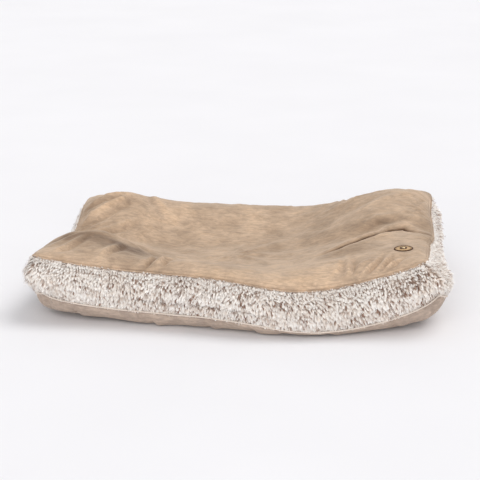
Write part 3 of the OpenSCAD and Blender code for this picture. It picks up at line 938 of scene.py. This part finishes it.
def pad_walls(low, high, u, v):
    """Rings of points between the rims of the pad, which bulge less than the cover does."""
    cover_low = base_at(u, v)[:, 2] + SUEDE_T + np.where(v > 0.99, ZIP_H, 0)
    cover_high = seam_z(u, v) - SUEDE_T
    walls = []
    for k in range(1, PAD_LEVELS):
        point = mix(low, high, k / PAD_LEVELS)
        t = np.clip((point[:, 2] - cover_low) / (cover_high - cover_low), 0, 1)
        arch = np.sin(math.pi * t)
        push_out(point, u, v, 0.85 * puff_at(u, v) * arch**1.5 - WALL_SLACK * arch**0.7)
        walls.append(point)
    return walls


def build_pad():
    case = pad_mesh("inner_pad", 0.014, 0.0095, 0.0160, 0.0, 71)
    dress(case, "ticking", ["inner_case_top", "inner_case_base", "inner_case_border"])
    filling = pad_mesh("loose_filling", 0.019, 0.0135, 0.0200, 0.0012, 73)
    dress(filling, "fibre", ["fibre_fill"])


# ---- Plush band: a backing per side with tufts of pile on it ----

BACKING_INSET = 0.0075
FACING_INSET = 0.0068
BAND_ARC = BAND_H + 0.018
BAND_ROWS = 34
BAND_COLS = {"front": 260, "right": 180, "back": 260, "left": 180}
RIB_PITCH = 0.0078
TUFT_STEP = 0.004
# Tufts above this place on a side may stand up over the seam
FRINGE_FROM = 0.965
BACKING_THICK = 0.002
# How the pile leans along a side, how ribbed it is, how much of it stands up at the top seam, and how
# much dark there is in it
PILE_LEAN = {"front": 0.04, "right": 0.55, "back": -0.04, "left": -0.30}
PILE_RIBS = {"front": 1.0, "right": 0.3, "back": 1.0, "left": 0.5}
PILE_FRINGE = {"front": 0.55, "right": 0.50, "back": 0.50, "left": 0.12}
PILE_DARK = {"front": 1.0, "right": 0.85, "back": 1.0, "left": 0.8}


def band_low(side):
    return SUEDE_T + ZIP_H if side == "back" else 0.0010


def band_points(side, s, t, inset):
    """Points of a side of the band, where t runs from 0 at the base to 1 at the top seam."""
    u, v = side_uv(side, s)
    low = base_at(u, v, band_low(side))
    high = top_at(u, v, -SUEDE_T - 0.0003)
    points = mix(low, high, t[..., None])
    arch = np.sin(math.pi * np.clip(t, 0, 1))
    push_out(points, u, v, puff_at(u, v) * arch**1.5)
    run = s * half_run(side)
    seed = 40 + SIDES.index(side)
    swell = 0.0050 * noise(run, t * 0.12, 0.07, seed) + 0.0025 * noise(run, t * 0.12, 0.03, seed + 5)
    fold_line = 0.40 + 0.07 * noise(run, 0 * run, 0.16, seed + 9)
    fold_depth = 0.35 + 0.65 * ramp(noise(run, 0 * run, 0.22, seed + 13), -0.4, 0.4)
    fold = -0.0085 * bump(t, fold_line, 0.050) * fold_depth
    push_out(points, u, v, (swell + fold) * arch * (1 - np.abs(s) ** 30) - inset)
    return points


def tuft_shape(strands, rings, strand_width, seed):
    """Tapered strands that draw together: x across, y out from the backing, z along from root to tip."""
    rng = np.random.default_rng(seed)
    points, faces, along = [], [], []
    for k in range(strands):
        start = (k + 0.5) / strands - 0.5 + rng.uniform(-0.06, 0.06)
        reach, rise = rng.uniform(0.72, 1.0), rng.uniform(0.75, 1.1)
        half = 0.5 * strand_width * rng.uniform(0.85, 1.15)
        tilt, bend = rng.uniform(-0.5, 0.5), rng.uniform(-0.18, 0.18)
        faces.append(grid_faces(rings + 1, 2, len(points)))
        for i in range(rings + 1):
            t = i / rings
            x = start * (1 - 0.50 * t) + bend * t * t
            y = rise * math.sin(t * math.pi * 0.62) + 0.25 * math.cos(start * math.pi)
            w = half * (1 - t**2.2) + 0.006
            points += [(x - w, y - w * tilt, t * reach), (x + w, y + w * tilt, t * reach)]
            along += [t, t]
    return np.array(points), np.concatenate(faces), np.array(along)


def scattered(side, row_step, col_step, rng):
    """Places for tufts on a side, in jittered rows, with two more rows along the top seam."""
    n_rows, n_cols = int(BAND_ARC / row_step), int(2 * half_run(side) / col_step)
    row, col = np.meshgrid(np.arange(n_rows), np.arange(n_cols), indexing="ij")
    row, col = row.ravel(), col.ravel()
    s = (col + 0.5 * (row % 2) + rng.uniform(-0.40, 0.40, row.size)) / n_cols * 2 - 1
    t = (row + 0.5 + rng.uniform(-0.40, 0.40, row.size)) / n_rows
    fringe = rng.uniform(-1, 1, 3 * n_cols)
    at_seam = rng.uniform(0.955, 0.992, fringe.size)
    below_seam = rng.uniform(0.88, 0.96, fringe.size)
    height = np.where(np.arange(fringe.size) % 3 < 2, at_seam, below_seam)
    s, t = np.concatenate([s, fringe]), np.concatenate([t, height])
    lowest = 0.08 if side == "back" else 0.02
    keep = (np.abs(s) < 0.999) & (t > lowest) & (t < 0.993)
    return s[keep], t[keep]


def band_frame(side, s, t):
    """Where tufts stand on a side, and the tangent, the way up and the way out there."""
    origin = band_points(side, s, t, BACKING_INSET * np.sin(math.pi * t) ** 0.35)
    ahead = band_points(side, s + TUFT_STEP, t, BACKING_INSET)
    tangent = unit(ahead - band_points(side, s - TUFT_STEP, t, BACKING_INSET))
    low, high = np.maximum(t - 0.02, 0), np.minimum(t + 0.02, 1)
    up = unit(band_points(side, s, high, BACKING_INSET) - band_points(side, s, low, BACKING_INSET))
    return origin, tangent, up, unit(np.cross(tangent, up))


def tuft_tones(side, s, t, run, rise, gaps, pale, seed, rng):
    """Tone and darkness of each tuft: more dark ones between the ribs, part fibre and part painted shade,
    and darker ones low down as painted shade.
    """
    tone = 0.68 + 0.20 * noise(run, rise, 0.035, seed + 3) + rng.normal(0, 0.17, s.size) + pale
    # Painted shade: darker tufts in patches low on the band, where it turns under
    tone = tone - 0.16 * ramp(-t, -0.42, -0.10) * ramp(noise(run, rise, 0.06, seed + 8), -0.3, 0.5)
    # More dark tufts in the gaps between ribs: dark fibres, and painted shade there
    dark_share = 0.175 + 0.13 * noise(run, rise, 0.05, seed + 4) + 0.22 * gaps
    if side == "right":
        dark_share = dark_share + 0.22 * ramp(s, -0.2, 0.5)
    if side == "front":
        dark_share = dark_share * (0.55 + 0.45 * ramp(s, -0.95, -0.35))
    dark_share = dark_share * PILE_DARK[side] * (1 - 0.7 * ramp(t, 0.80, 0.92))
    dark = rng.uniform(0, 1, s.size) < dark_share
    return np.where(dark, rng.uniform(0.0, 0.20, s.size), np.clip(tone, 0.26, 1)), dark


def pile(name, side, spacing, size, seed, shapes, pale=0.0):
    """Tufts all over one side of the band, gathered into upright ribs; one piece a shape."""
    width, length, lift = size
    rng = np.random.default_rng(seed)
    s, t = scattered(side, *spacing, rng)
    count = s.size
    origin, tangent, up, out = band_frame(side, s, t)
    run, rise = s * half_run(side), t * 0.14
    rib = run / RIB_PITCH + 0.7 * noise(run, rise, 0.030, seed + 6)
    off_rib = rib - np.round(rib)
    ribbed = PILE_RIBS[side] * ramp(noise(run, rise, 0.09, seed + 7), -0.7, 0.3)
    gaps = ribbed * ramp(np.abs(off_rib), 0.25, 0.5)
    sway = PILE_LEAN[side] + 0.45 * noise(run, rise, 0.06, seed + 1)
    sway = sway + 0.30 * noise(run, rise, 0.016, seed + 2)
    sway = sway + rng.normal(0, 0.18, count) - 1.1 * off_rib * ribbed
    up_turned = (t > FRINGE_FROM) & (rng.uniform(0, 1, count) < PILE_FRINGE[side])
    hang = np.where(up_turned, rng.uniform(-0.8, -0.2, count), 1.0)
    outwards = np.where(up_turned, 0.7, 0.25 * ramp(t, 0.85, 0.95))
    down = unit(-up * hang[:, None] + tangent * sway[:, None] + out * outwards[:, None])
    out = unit(out - down * np.sum(out * down, -1, keepdims=True))
    scale = 0.55 + 0.45 * np.sin(math.pi * np.clip(t, 0.05, 0.95)) ** 0.5
    scale = rng.uniform(0.80, 1.20, count) * scale
    scale = scale * np.clip((t + 0.02) * BAND_ARC / (length * 0.8), 0.35, 1)
    full = (1 - 0.45 * gaps) * (0.90 + 0.45 * noise(run, rise, 0.012, seed + 9))
    across = unit(np.cross(down, out))
    tone, dark = tuft_tones(side, s, t, run, rise, gaps, pale, seed, rng)
    narrow = np.where(dark, 0.70, 1.0)
    axes = [
        across * (width * scale * narrow * rng.uniform(0.75, 1.25, count))[:, None],
        out * (lift * scale * full)[:, None],
        down * (length * scale)[:, None],
    ]
    pieces = []
    for k, (points, faces, along) in enumerate(shapes):
        own = slice(k, None, len(shapes))
        obj = many(f"{name}_{k + 1}", points, faces, origin[own], *(axis[own] for axis in axes))
        paint(obj, "tone", np.repeat(tone[own], len(points)))
        paint(obj, "along", np.tile(along, len(tone[own])))
        pieces.append(dress(obj, "pile"))
    return pieces


# Shapes, spacing between rows and along them, and size: width, length, lift
TUFTS = [tuft_shape(8, 3, 0.20, 1), tuft_shape(8, 3, 0.20, 2)]
TUFT_SPACING = (0.0066, 0.0046)
TUFT_SIZE = (0.0068, 0.0138, 0.0080)
WISPS = [tuft_shape(2, 3, 0.13, 3)]
WISP_SPACING = (0.0080, 0.0050)
WISP_SIZE = (0.0060, 0.0175, 0.0108)
WISP_PALE = 0.15


def build_band(side):
    s, t = np.meshgrid(crowded(BAND_COLS[side]), np.linspace(0, 1, BAND_ROWS))
    points = band_points(side, s, t, BACKING_INSET * np.sin(math.pi * t) ** 0.5)
    backing = shell(side + "_plush_backing", points, BACKING_THICK)
    dress(backing, "backing", [side + "_band"])
    seed = 60 + 10 * SIDES.index(side)
    sewn_on = pile(side + "_pile", side, TUFT_SPACING, TUFT_SIZE, seed, TUFTS)
    sewn_on += pile(side + "_wisps", side, WISP_SPACING, WISP_SIZE, seed + 5, WISPS, WISP_PALE)
    tall = BAND_H + 0.03
    if side == "back":
        sewn_on += [build_tape("zip_tape_upper"), build_tape("zip_tape_lower"), build_facing()]
        tall -= ZIP_H


def build_facing():
    """A strip of cloth behind the zip that closes the gap between base and band."""
    u, t = np.meshgrid(crowded(160), np.linspace(0, 1, 7))
    v = np.ones_like(u)
    points = base_at(u, v, mix(-0.0050, ZIP_H + 0.0110, t))
    push_out(points, u, v, -FACING_INSET - 0.0012 * np.abs(2 * t - 1))
    return dress(shell("zip_facing", points, 0.0010), "tape")


# ---- Seams ----

SEAM_COUNT = 420
STITCH_INSET, STITCH_PITCH, HALF_STITCH = 0.0060, 0.0050, 0.0019


def seam_tube(name, spread, height_at, out, radius, seed):
    """A rolled edge all round the cover."""
    u, v = outline_uv(SEAM_COUNT)
    x, y = plan(u, v, spread)
    ox, oy = outward(u, v)
    path = np.stack([x + ox * out, y + oy * out, height_at(u, v)], -1)
    run = np.cumsum(np.linalg.norm(np.diff(path, axis=0, prepend=path[-1:]), axis=1))
    path[:, 2] += 0.0005 * noise(run, 0 * run, 0.03, seed)
    across = unit(np.stack([ox, oy, 0 * ox], -1))
    upright = np.zeros_like(across)
    upright[:, 2] = 1
    radius = radius * (1 + 0.12 * noise(run, 0 * run, 0.012, seed + 1))
    return tube(name, path, across, upright, radius, 10)


def build_seams():
    roll = seam_tube("top_seam_roll", 0.0, lambda u, v: seam_z(u, v) - 0.0016, 0.0012, 0.0022, 51)
    dress(roll, "roll", ["top_welt"])
    edge = seam_tube("base_seam_edge", BASE_SPREAD, lambda u, v: base_z(u, v) + 0.0018, 0.0028, 0.0021, 53)
    dress(edge, "edge", ["base_welt"])


def capsule(rings=3, sides=6):
    """A stitch one unit long on x and one thick."""
    points = []
    for i in range(rings + 1):
        t = i / rings
        r = 0.5 * math.sin(math.pi * (0.12 + 0.76 * t)) ** 0.6
        for k in range(sides):
            a = 2 * math.pi * k / sides
            points.append((t - 0.5, r * math.cos(a), r * math.sin(a)))
    return points, grid_faces(rings + 1, sides, wrap=True)


def build_top_stitching():
    """One row of fine stitches just inside the seam."""
    places = []
    for side in ("front", "back", "right", "left"):
        count = int(2 * half_run(side) / STITCH_PITCH)
        places.append(side_uv(side, np.linspace(-0.985, 0.985, count)))
    u, v = joined_uv(places)
    a, b = drawn_in(u, v, STITCH_INSET)
    on_end = np.abs(u) > np.abs(v)
    step_a, step_b = np.where(on_end, 0, HALF_STITCH / HALF_L), np.where(on_end, HALF_STITCH / MID_D, 0)
    first, last = top_surface(a - step_a, b - step_b), top_surface(a + step_a, b + step_b)
    inner = top_surface(a * (1 - 0.004 * on_end), b * (1 - 0.004 * ~on_end))
    along = last - first
    normal = unit(np.cross(along, inner - first))
    normal = normal * np.sign(normal[:, 2:3])
    across = unit(np.cross(normal, along))
    middle = (first + last) / 2 + normal * 0.0002
    stitches = many("top_stitching", *capsule(), middle, along, across * 0.0008, normal * 0.0008)
    dress(stitches, "thread")


# ---- Badge ----


# Profiles of radius and height
BADGE_PROFILE = [
    (0, 0),
    (0.023, 0),
    (0.024, 0.0004),
    (0.0238, 0.0012),
    (0.0225, 0.0017),
    (0.0200, 0.0018),
    (0.0106, 0.0019),
    (0.0102, 0.0024),
    (0.0097, 0.0036),
    (0.0067, 0.0038),
    (0.0061, 0.0024),
    (0, 0.0024),
]
# How many of them, from the first, are not tooled
BADGE_PLAIN = 7
STUD_PROFILE = [
    (0, 0.0020),
    (0.0055, 0.0020),
    (0.0058, 0.0026),
    (0.0055, 0.0032),
    (0.0048, 0.0035),
    (0.0043, 0.0041),
    (0.0033, 0.0046),
    (0.0018, 0.0049),
    (0, 0.0050),
]
BADGE_SIDES, STUD_SIDES = 72, 48
# Radius and how many, for the cord of the binding, its slanted stitches, and the stitches inside it
BINDING_RADIUS, BINDING_COUNT, BINDING_WIRE = 0.0246, 96, 0.0014
WHIP_RADIUS, WHIP_COUNT, WHIP_LENGTH, WHIP_WIDTH = 0.0244, 120, 0.0042, 0.0014
INNER_RADIUS, INNER_COUNT = 0.0208, 46
badge_seat = badge_middle + badge_normal * BADGE_LIFT


def round_badge(count):
    """Outward directions round the badge, and the tangents there."""
    side = unit(np.cross(np.array([0.0, 1.0, 0.0]), badge_normal))
    other = np.cross(badge_normal, side)
    cos, sin = circle(count)
    return side * cos + other * sin, other * cos - side * sin


def lathe(name, profile, count):
    """Turns a profile about the axis of the badge; it starts and ends on the axis."""
    out, _ = round_badge(count)
    rings = [badge_seat + out * max(r, 1e-5) + badge_normal * h for r, h in profile]
    return make_object(name, np.concatenate(rings), grid_faces(len(profile), count, 0, True, True))


def build_badge():
    patch = lathe("badge_leather", BADGE_PROFILE, BADGE_SIDES)
    tooled = np.arange(len(BADGE_PROFILE)) >= BADGE_PLAIN
    paint(patch, "tone", np.repeat(tooled, BADGE_SIDES))
    dress(patch, "badge", ["badge_patch"])
    out, _ = round_badge(BINDING_COUNT)
    path = badge_seat + out * BINDING_RADIUS + badge_normal * 0.0010
    up = np.broadcast_to(badge_normal, out.shape)
    core = tube("badge_binding", path, out, up, BINDING_WIRE, 8)
    dress(core, "dark_thread", ["badge_rim"])
    build_whipping()
    out, along = round_badge(INNER_COUNT)
    up = np.broadcast_to(badge_normal, out.shape)
    middle = badge_seat + out * INNER_RADIUS + up * 0.0019
    stitches = many("badge_stitches", *capsule(), middle, along * 0.0021, out * 0.0008, up * 0.0008)
    dress(stitches, "dark_thread", ["badge_thread"])
    stud = lathe("badge_stud_head", STUD_PROFILE, STUD_SIDES)
    dress(stud, "brass", ["badge_stud"])


def build_whipping():
    """Slanted stitches that arch over the binding of the badge."""
    out, along = round_badge(WHIP_COUNT)
    slant = unit(out + 0.35 * along)
    points, faces = capsule(5, 6)
    arch = np.array(points)
    arch[:, 1:] *= WHIP_WIDTH
    arch[:, 2] -= 0.0055 * arch[:, 0] ** 2
    arch[:, 0] *= WHIP_LENGTH
    across = unit(np.cross(badge_normal, slant))
    up = np.broadcast_to(badge_normal, out.shape)
    middle = badge_seat + out * WHIP_RADIUS + badge_normal * 0.0019
    wraps = many("badge_whipping", arch, faces, middle, slant, across, up)
    dress(wraps, "dark_thread")


# ---- Zip in the back of the cover ----

TOOTH_PITCH = 0.0016
TOOTH_STEPS, TOOTH_SIDES = 10, 6
TAPE_TUCK = 0.0022
SLIDER_PLATE = 0.0014
BAR_RADIUS, BAR_HALF, BAR_SIDES = 0.00085, 0.0024, 20
TAB_HALF = 0.0007
TAB_MARGIN = 0.0012


def upright_axes(count, x, y, z):
    """Axes on x, y and z of the given lengths, for count copies of a part."""
    return [np.tile(axis, (count, 1)) for axis in np.diag([x, y, z])]


def build_tape(node):
    """A woven tape with a thicker cord along the edge that carries the teeth."""
    low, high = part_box(node)
    x, t = np.meshgrid(np.linspace(high[0], low[0], 260), np.linspace(0, 1, 13))
    upper = "upper" in node
    z = mix(low[2] - (not upper) * TAPE_TUCK, high[2] + upper * TAPE_TUCK, t)
    edge = 1 - t if upper else t
    y = high[1] - 0.0005 + 0.0004 * ramp(edge, 0.78, 0.9) + 0.00012 * np.sin(edge * 40)
    y = y + 0.00025 * noise(x, z, 0.02, 81)
    tape = shell(node + "_cloth", np.stack([x, y, z], -1), 0.0007)
    return dress(tape, "tape", [node])


def tooth(half_depth, reach):
    """One bent loop of wire, which is thicker at its head."""
    turn = np.linspace(-0.5 * math.pi, 0.5 * math.pi, TOOTH_STEPS)
    z = np.concatenate([[0.0], reach * (0.55 + 0.45 * np.cos(turn)), [0.0]])
    y = np.concatenate([[-half_depth], half_depth * np.sin(turn), [half_depth]])
    x = np.linspace(-0.00022, 0.00022, z.size)
    path = np.stack([x, y, z], -1)
    across = np.tile([1.0, 0, 0], (z.size, 1))
    other = np.cross(unit(np.gradient(path, axis=0)), across)
    cos, sin = circle(TOOTH_SIDES)
    radius = np.where(z > reach * 0.8, 0.00050, 0.00040)[:, None, None]
    ring = path[:, None] + radius * (across[:, None] * cos + other[:, None] * sin)
    return ring.reshape(-1, 3), grid_faces(z.size, TOOTH_SIDES, wrap=True)


def build_teeth(node):
    """A nylon coil: one loop a tooth, with its head towards the other row."""
    low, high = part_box(node)
    facing = -1 if "upper" in node else 1
    root, head = (high[2], low[2]) if facing < 0 else (low[2], high[2])
    count = int((high[0] - low[0]) / TOOTH_PITCH)
    x = low[0] + (np.arange(count) + 0.25 + 0.5 * (facing < 0)) * TOOTH_PITCH
    y = np.full(count, (low[1] + high[1]) / 2)
    z = np.full(count, root + facing * 0.0004)
    loop = tooth((high[1] - low[1]) / 2 - 0.0004, abs(head - root) - 0.0005)
    axes = upright_axes(count, 1.0, 1.0, facing)
    coil = many(node + "_coil", *loop, np.stack([x, y, z], -1), *axes)
    dress(coil, "nylon", [node])


def plate(outline, y_low, y_high, bevel):
    """A slab between two heights on y, from an outline in x and z, with bevelled edges."""
    outline = np.array(outline, float)
    inwards = outline.mean(0) - outline
    inner = outline + inwards * bevel / np.maximum(np.linalg.norm(inwards, axis=1, keepdims=True), 1e-6)
    n = len(outline)
    layers = [(inner, y_low), (outline, y_low + bevel), (outline, y_high - bevel), (inner, y_high)]
    points = np.concatenate([np.stack([ring[:, 0], np.full(n, y), ring[:, 1]], -1) for ring, y in layers])
    faces = grid_faces(4, n, 0, False, True).tolist()
    return points, faces + [list(range(n)), list(range(4 * n - 1, 3 * n - 1, -1))]


def rounded_outline(x_low, x_high, z_low, z_high, radius, steps=5):
    """A rectangle in x and z with rounded corners, anticlockwise."""
    points = []
    corners = [(x_high, z_high, 0), (x_low, z_high, 90), (x_low, z_low, 180), (x_high, z_low, 270)]
    for x, z, start in corners:
        cx = x - radius if x == x_high else x + radius
        cz = z - radius if z == z_high else z + radius
        for k in range(steps + 1):
            a = math.radians(start + 90 * k / steps)
            points.append((cx + radius * math.cos(a), cz + radius * math.sin(a)))
    return points


def joined(name, parts):
    """One object of several closed parts, each a list of points and a list of faces."""
    points, faces = [], []
    for part_points, part_faces in parts:
        first = len(points)
        points += [tuple(point) for point in part_points]
        faces += [[first + k for k in face] for face in part_faces]
    return make_object(name, points, faces, smooth=False)


def hoop(cx, cy, cz, ring_radius, wire, height, count=28, sides=10):
    """A flattened ring about an upright axis."""
    points = []
    for i in range(count):
        a = 2 * math.pi * i / count
        for k in range(sides):
            b = 2 * math.pi * k / sides
            r = ring_radius + wire * math.cos(b)
            points.append((cx + r * math.cos(a), cy + r * math.sin(a), cz + height / 2 * math.sin(b)))
    faces = []
    for i in range(count):
        for k in range(sides):
            m, n = (i + 1) % count, (k + 1) % sides
            faces.append([i * sides + k, m * sides + k, m * sides + n, i * sides + n])
    return points, faces


def build_slider():
    """Two plates with lips round the teeth, a web between them, and a bridge for the pull."""
    low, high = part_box("zip_slider")
    x_low, x_high = low[0], high[0]
    x_mid, z_mid = (x_low + x_high) / 2, (low[2] + high[2]) / 2
    half = (high[2] - low[2]) / 2
    in_low, in_high = low[1], low[1] + SLIDER_PLATE
    out_low = low[1] + 0.0046
    out_high = out_low + SLIDER_PLATE
    edge = [(x_low, -half * 0.72), (x_low + 0.003, -half)]
    edge += [(x_high - 0.0012, -half * 0.96), (x_high, -half * 0.70)]
    outline = [(x, z_mid + z) for x, z in edge] + [(x, z_mid - z) for x, z in edge[::-1]]
    parts = [plate(outline, in_low, in_high, 0.00035), plate(outline, out_low, out_high, 0.00045)]
    for sign in (-1, 1):
        z_pair = sorted((z_mid + sign * (half - 0.0009), z_mid + sign * half * 0.97))
        lip = rounded_outline(x_low + 0.0022, x_high - 0.0012, *z_pair, 0.0003, 2)
        parts.append(plate(lip, out_low - 0.0005, out_low + 0.0004, 0.0001))
        parts.append(plate(lip, in_high - 0.0004, in_high + 0.0005, 0.0001))
        z_pair = sorted((z_mid + sign * 0.00215, z_mid + sign * 0.00295))
        ear = rounded_outline(x_mid - 0.0022, x_mid + 0.0022, *z_pair, 0.0002, 2)
        parts.append(plate(ear, out_high - 0.0003, high[1] - 0.0002, 0.0003))
    web = rounded_outline(x_low + 0.0001, x_low + 0.0029, z_mid - 0.00024, z_mid + 0.00024, 0.0001, 2)
    parts.append(plate(web, in_high - 0.0004, out_low + 0.0004, 0.0001))
    dress(joined("zip_slider_body", parts), "steel", ["zip_slider"], body="slider")
    build_bar(x_mid, high[1] - 0.0009, z_mid)


def build_bar(x_mid, y_mid, z_mid):
    """The bar of the slider, which the pull turns on."""
    points = []
    for z in (z_mid - BAR_HALF, z_mid + BAR_HALF):
        for a in np.linspace(0, 2 * math.pi, BAR_SIDES, endpoint=False):
            points.append((x_mid + BAR_RADIUS * math.cos(a), y_mid + BAR_RADIUS * math.sin(a), z))
    ends = [list(range(BAR_SIDES - 1, -1, -1)), list(range(BAR_SIDES, 2 * BAR_SIDES))]
    faces = grid_faces(2, BAR_SIDES, wrap=True).tolist() + ends
    dress(make_object("zip_slider_bar", points, faces), "steel", body="slider")


def build_pull():
    """An eye round the bar, a short neck, and a tab with stitches round its face."""
    low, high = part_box("zip_pull")
    z_low, z_high = low[2], high[2]
    z_mid = (z_low + z_high) / 2
    eye_x, eye_y = high[0] - 0.0026, (low[1] + high[1]) / 2
    neck = rounded_outline(eye_x - 0.0085, eye_x - 0.0019, z_mid - 0.0014, z_mid + 0.0014, 0.0005, 3)
    ring = hoop(eye_x, eye_y, z_mid, 0.00195, 0.00062, 0.0032)
    eye = joined("zip_pull_eye", [ring, plate(neck, eye_y - 0.0006, eye_y + 0.0006, 0.0003)])
    for polygon in eye.data.polygons:
        polygon.use_smooth = len(polygon.vertices) == 4
    dress(eye, "steel", body="pull")
    x_low, x_high = low[0], eye_x - 0.0064
    outer = rounded_outline(x_low, x_high, z_low, z_high, 0.0024, 6)
    tab = joined("zip_pull_tab", [plate(outer, eye_y - TAB_HALF, eye_y + TAB_HALF, 0.0003)])
    dress(tab, "tab", ["zip_pull"], body="pull")
    x_pair = (x_low + TAB_MARGIN, x_high - TAB_MARGIN)
    z_pair = (z_low + TAB_MARGIN, z_high - TAB_MARGIN)
    build_tab_stitches(rounded_outline(*x_pair, *z_pair, 0.0014, 4), eye_y + TAB_HALF)


def build_tab_stitches(row, face_y):
    """Stitches along a closed row in x and z."""
    closed = np.array([*row, row[0]])
    run = np.concatenate([[0], np.cumsum(np.linalg.norm(np.diff(closed, axis=0), axis=1))])
    places = np.arange(0, run[-1], 0.0019)
    here = np.stack([np.interp(places, run, closed[:, k]) for k in (0, 1)], -1)
    places = (places + 0.0003) % run[-1]
    ahead = np.stack([np.interp(places, run, closed[:, k]) for k in (0, 1)], -1)
    way = unit(ahead - here)
    count = len(here)
    origin = np.stack([here[:, 0], np.full(count, face_y), here[:, 1]], -1)
    along = np.stack([way[:, 0], np.zeros(count), way[:, 1]], -1)
    out = np.tile([0.0, 1.0, 0.0], (count, 1))
    axes = along * 0.0013, out * 0.0003, np.cross(along, out) * 0.0004
    dress(many("zip_pull_stitches", *capsule(), origin, *axes), "thread", body="pull")


def build_stop(node):
    """A crimped metal stop."""
    low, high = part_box(node)
    outline = rounded_outline(low[0], high[0], low[2], high[2], 0.0008, 4)
    stop = joined(node + "_crimp", [plate(outline, low[1], high[1], 0.0005)])
    dress(stop, "steel", [node])


def build_label():
    """A blank care label sewn in at its top edge; its free edge curls out a little."""
    low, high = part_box("care_label")
    x, t = np.meshgrid(np.linspace(high[0], low[0], 34), np.linspace(0, 1, 24))
    z = mix(low[2], high[2], t)
    hang = 1 - t
    y = high[1] + 0.0035 * hang**2 + 0.0012 * hang * np.sin((x - low[0]) * 150)
    y = y + 0.0008 * hang * noise(x, z, 0.01, 83)
    label = shell("care_label_cloth", np.stack([x, y, z], -1), 0.0005)
    dress(label, "label", ["care_label"])
    places = np.arange(low[0] + 0.002, high[0] - 0.001, 0.003)
    count = places.size
    origin = np.stack([places, np.full(count, high[1]), np.full(count, high[2] - 0.0025)], -1)
    axes = upright_axes(count, 0.0021, 0.0004, 0.0006)
    dress(many("label_stitches", *capsule(), origin, *axes), "thread")


def build_hardware():
    build_badge()
    for row in ("upper", "lower"):
        build_teeth("zip_teeth_" + row)
    build_stop("zip_stop_closed")
    build_stop("zip_stop_open")
    build_slider()
    build_pull()
    build_label()


# ---- Camera, light and floor ----

CAMERA_AZIMUTH = math.radians(5.6)
CAMERA_ELEVATION = math.radians(16.3)
CAMERA_DISTANCE = 4.5
CAMERA_LENS = 114.4
SENSOR_WIDTH = 36.0
CAMERA_TARGET = Vector((-0.017, 0.029, 0.150))
FLOOR_HALF = 30.0
WORLD_COLOUR, WORLD_STRENGTH = (0.985, 0.985, 1.0, 1), 0.52
# Name, where it shines from, strength, angle in degrees, colour
LIGHTS = [
    ("key", (0.50, 0.05, 1.0), 1.20, 42, (1.0, 0.985, 0.97)),
    ("fill", (-0.05, -1.0, 0.40), 1.75, 60, (1.0, 1.0, 1.0)),
    ("back", (0.10, 1.0, 0.22), 0.30, 60, (1.0, 1.0, 1.0)),
]


def build_camera():
    back = Vector(
        (
            math.sin(CAMERA_AZIMUTH) * math.cos(CAMERA_ELEVATION),
            -math.cos(CAMERA_AZIMUTH) * math.cos(CAMERA_ELEVATION),
            math.sin(CAMERA_ELEVATION),
        )
    )
    data = bpy.data.cameras.new("camera")
    data.lens = CAMERA_LENS
    data.sensor_width = SENSOR_WIDTH
    camera = bpy.data.objects.new("camera", data)
    camera.location = CAMERA_TARGET + back * CAMERA_DISTANCE
    camera.rotation_euler = (-back).to_track_quat("-Z", "Y").to_euler()
    scene.collection.objects.link(camera)
    scene.camera = camera


def build_floor():
    corners = [(x * FLOOR_HALF, y * FLOOR_HALF, 0) for x, y in ((-1, -1), (1, -1), (1, 1), (-1, 1))]
    floor = make_object("studio_floor", corners, [[0, 1, 2, 3]], smooth=False)
    skin = Surface("studio_floor")
    tint = skin.noise(skin.place(), 1.5, 2.0)
    colour = skin.ramp(tint, [(0.3, (0.865, 0.86, 0.88)), (0.7, (0.885, 0.88, 0.90))])
    sockets = {"Base Color": colour, "Roughness": 0.9, "Specular IOR Level": 0.1}
    floor.data.materials.append(skin.finish(sockets))


def build_light():
    world = bpy.data.worlds.new("studio")
    scene.world = world
    world.use_nodes = True
    background = world.node_tree.nodes["Background"]
    background.inputs["Color"].default_value = WORLD_COLOUR
    background.inputs["Strength"].default_value = WORLD_STRENGTH
    for light in LIGHTS:
        soft_sun(*light)
    scene.view_settings.view_transform = "Standard"


def soft_sun(name, source, energy, angle, colour):
    """A large soft light that shines from the direction of source."""
    lamp = bpy.data.lights.new(name, "SUN")
    lamp.energy = energy
    lamp.angle = math.radians(angle)
    lamp.color = colour
    sun = bpy.data.objects.new(name, lamp)
    sun.rotation_euler = Vector(source).to_track_quat("Z", "Y").to_euler()
    scene.collection.objects.link(sun)


# ---- Build ----

build_camera()
build_floor()
build_light()
build_top()
build_base()
build_pad()
for band_side in SIDES:
    build_band(band_side)
build_seams()
build_top_stitching()
build_hardware()
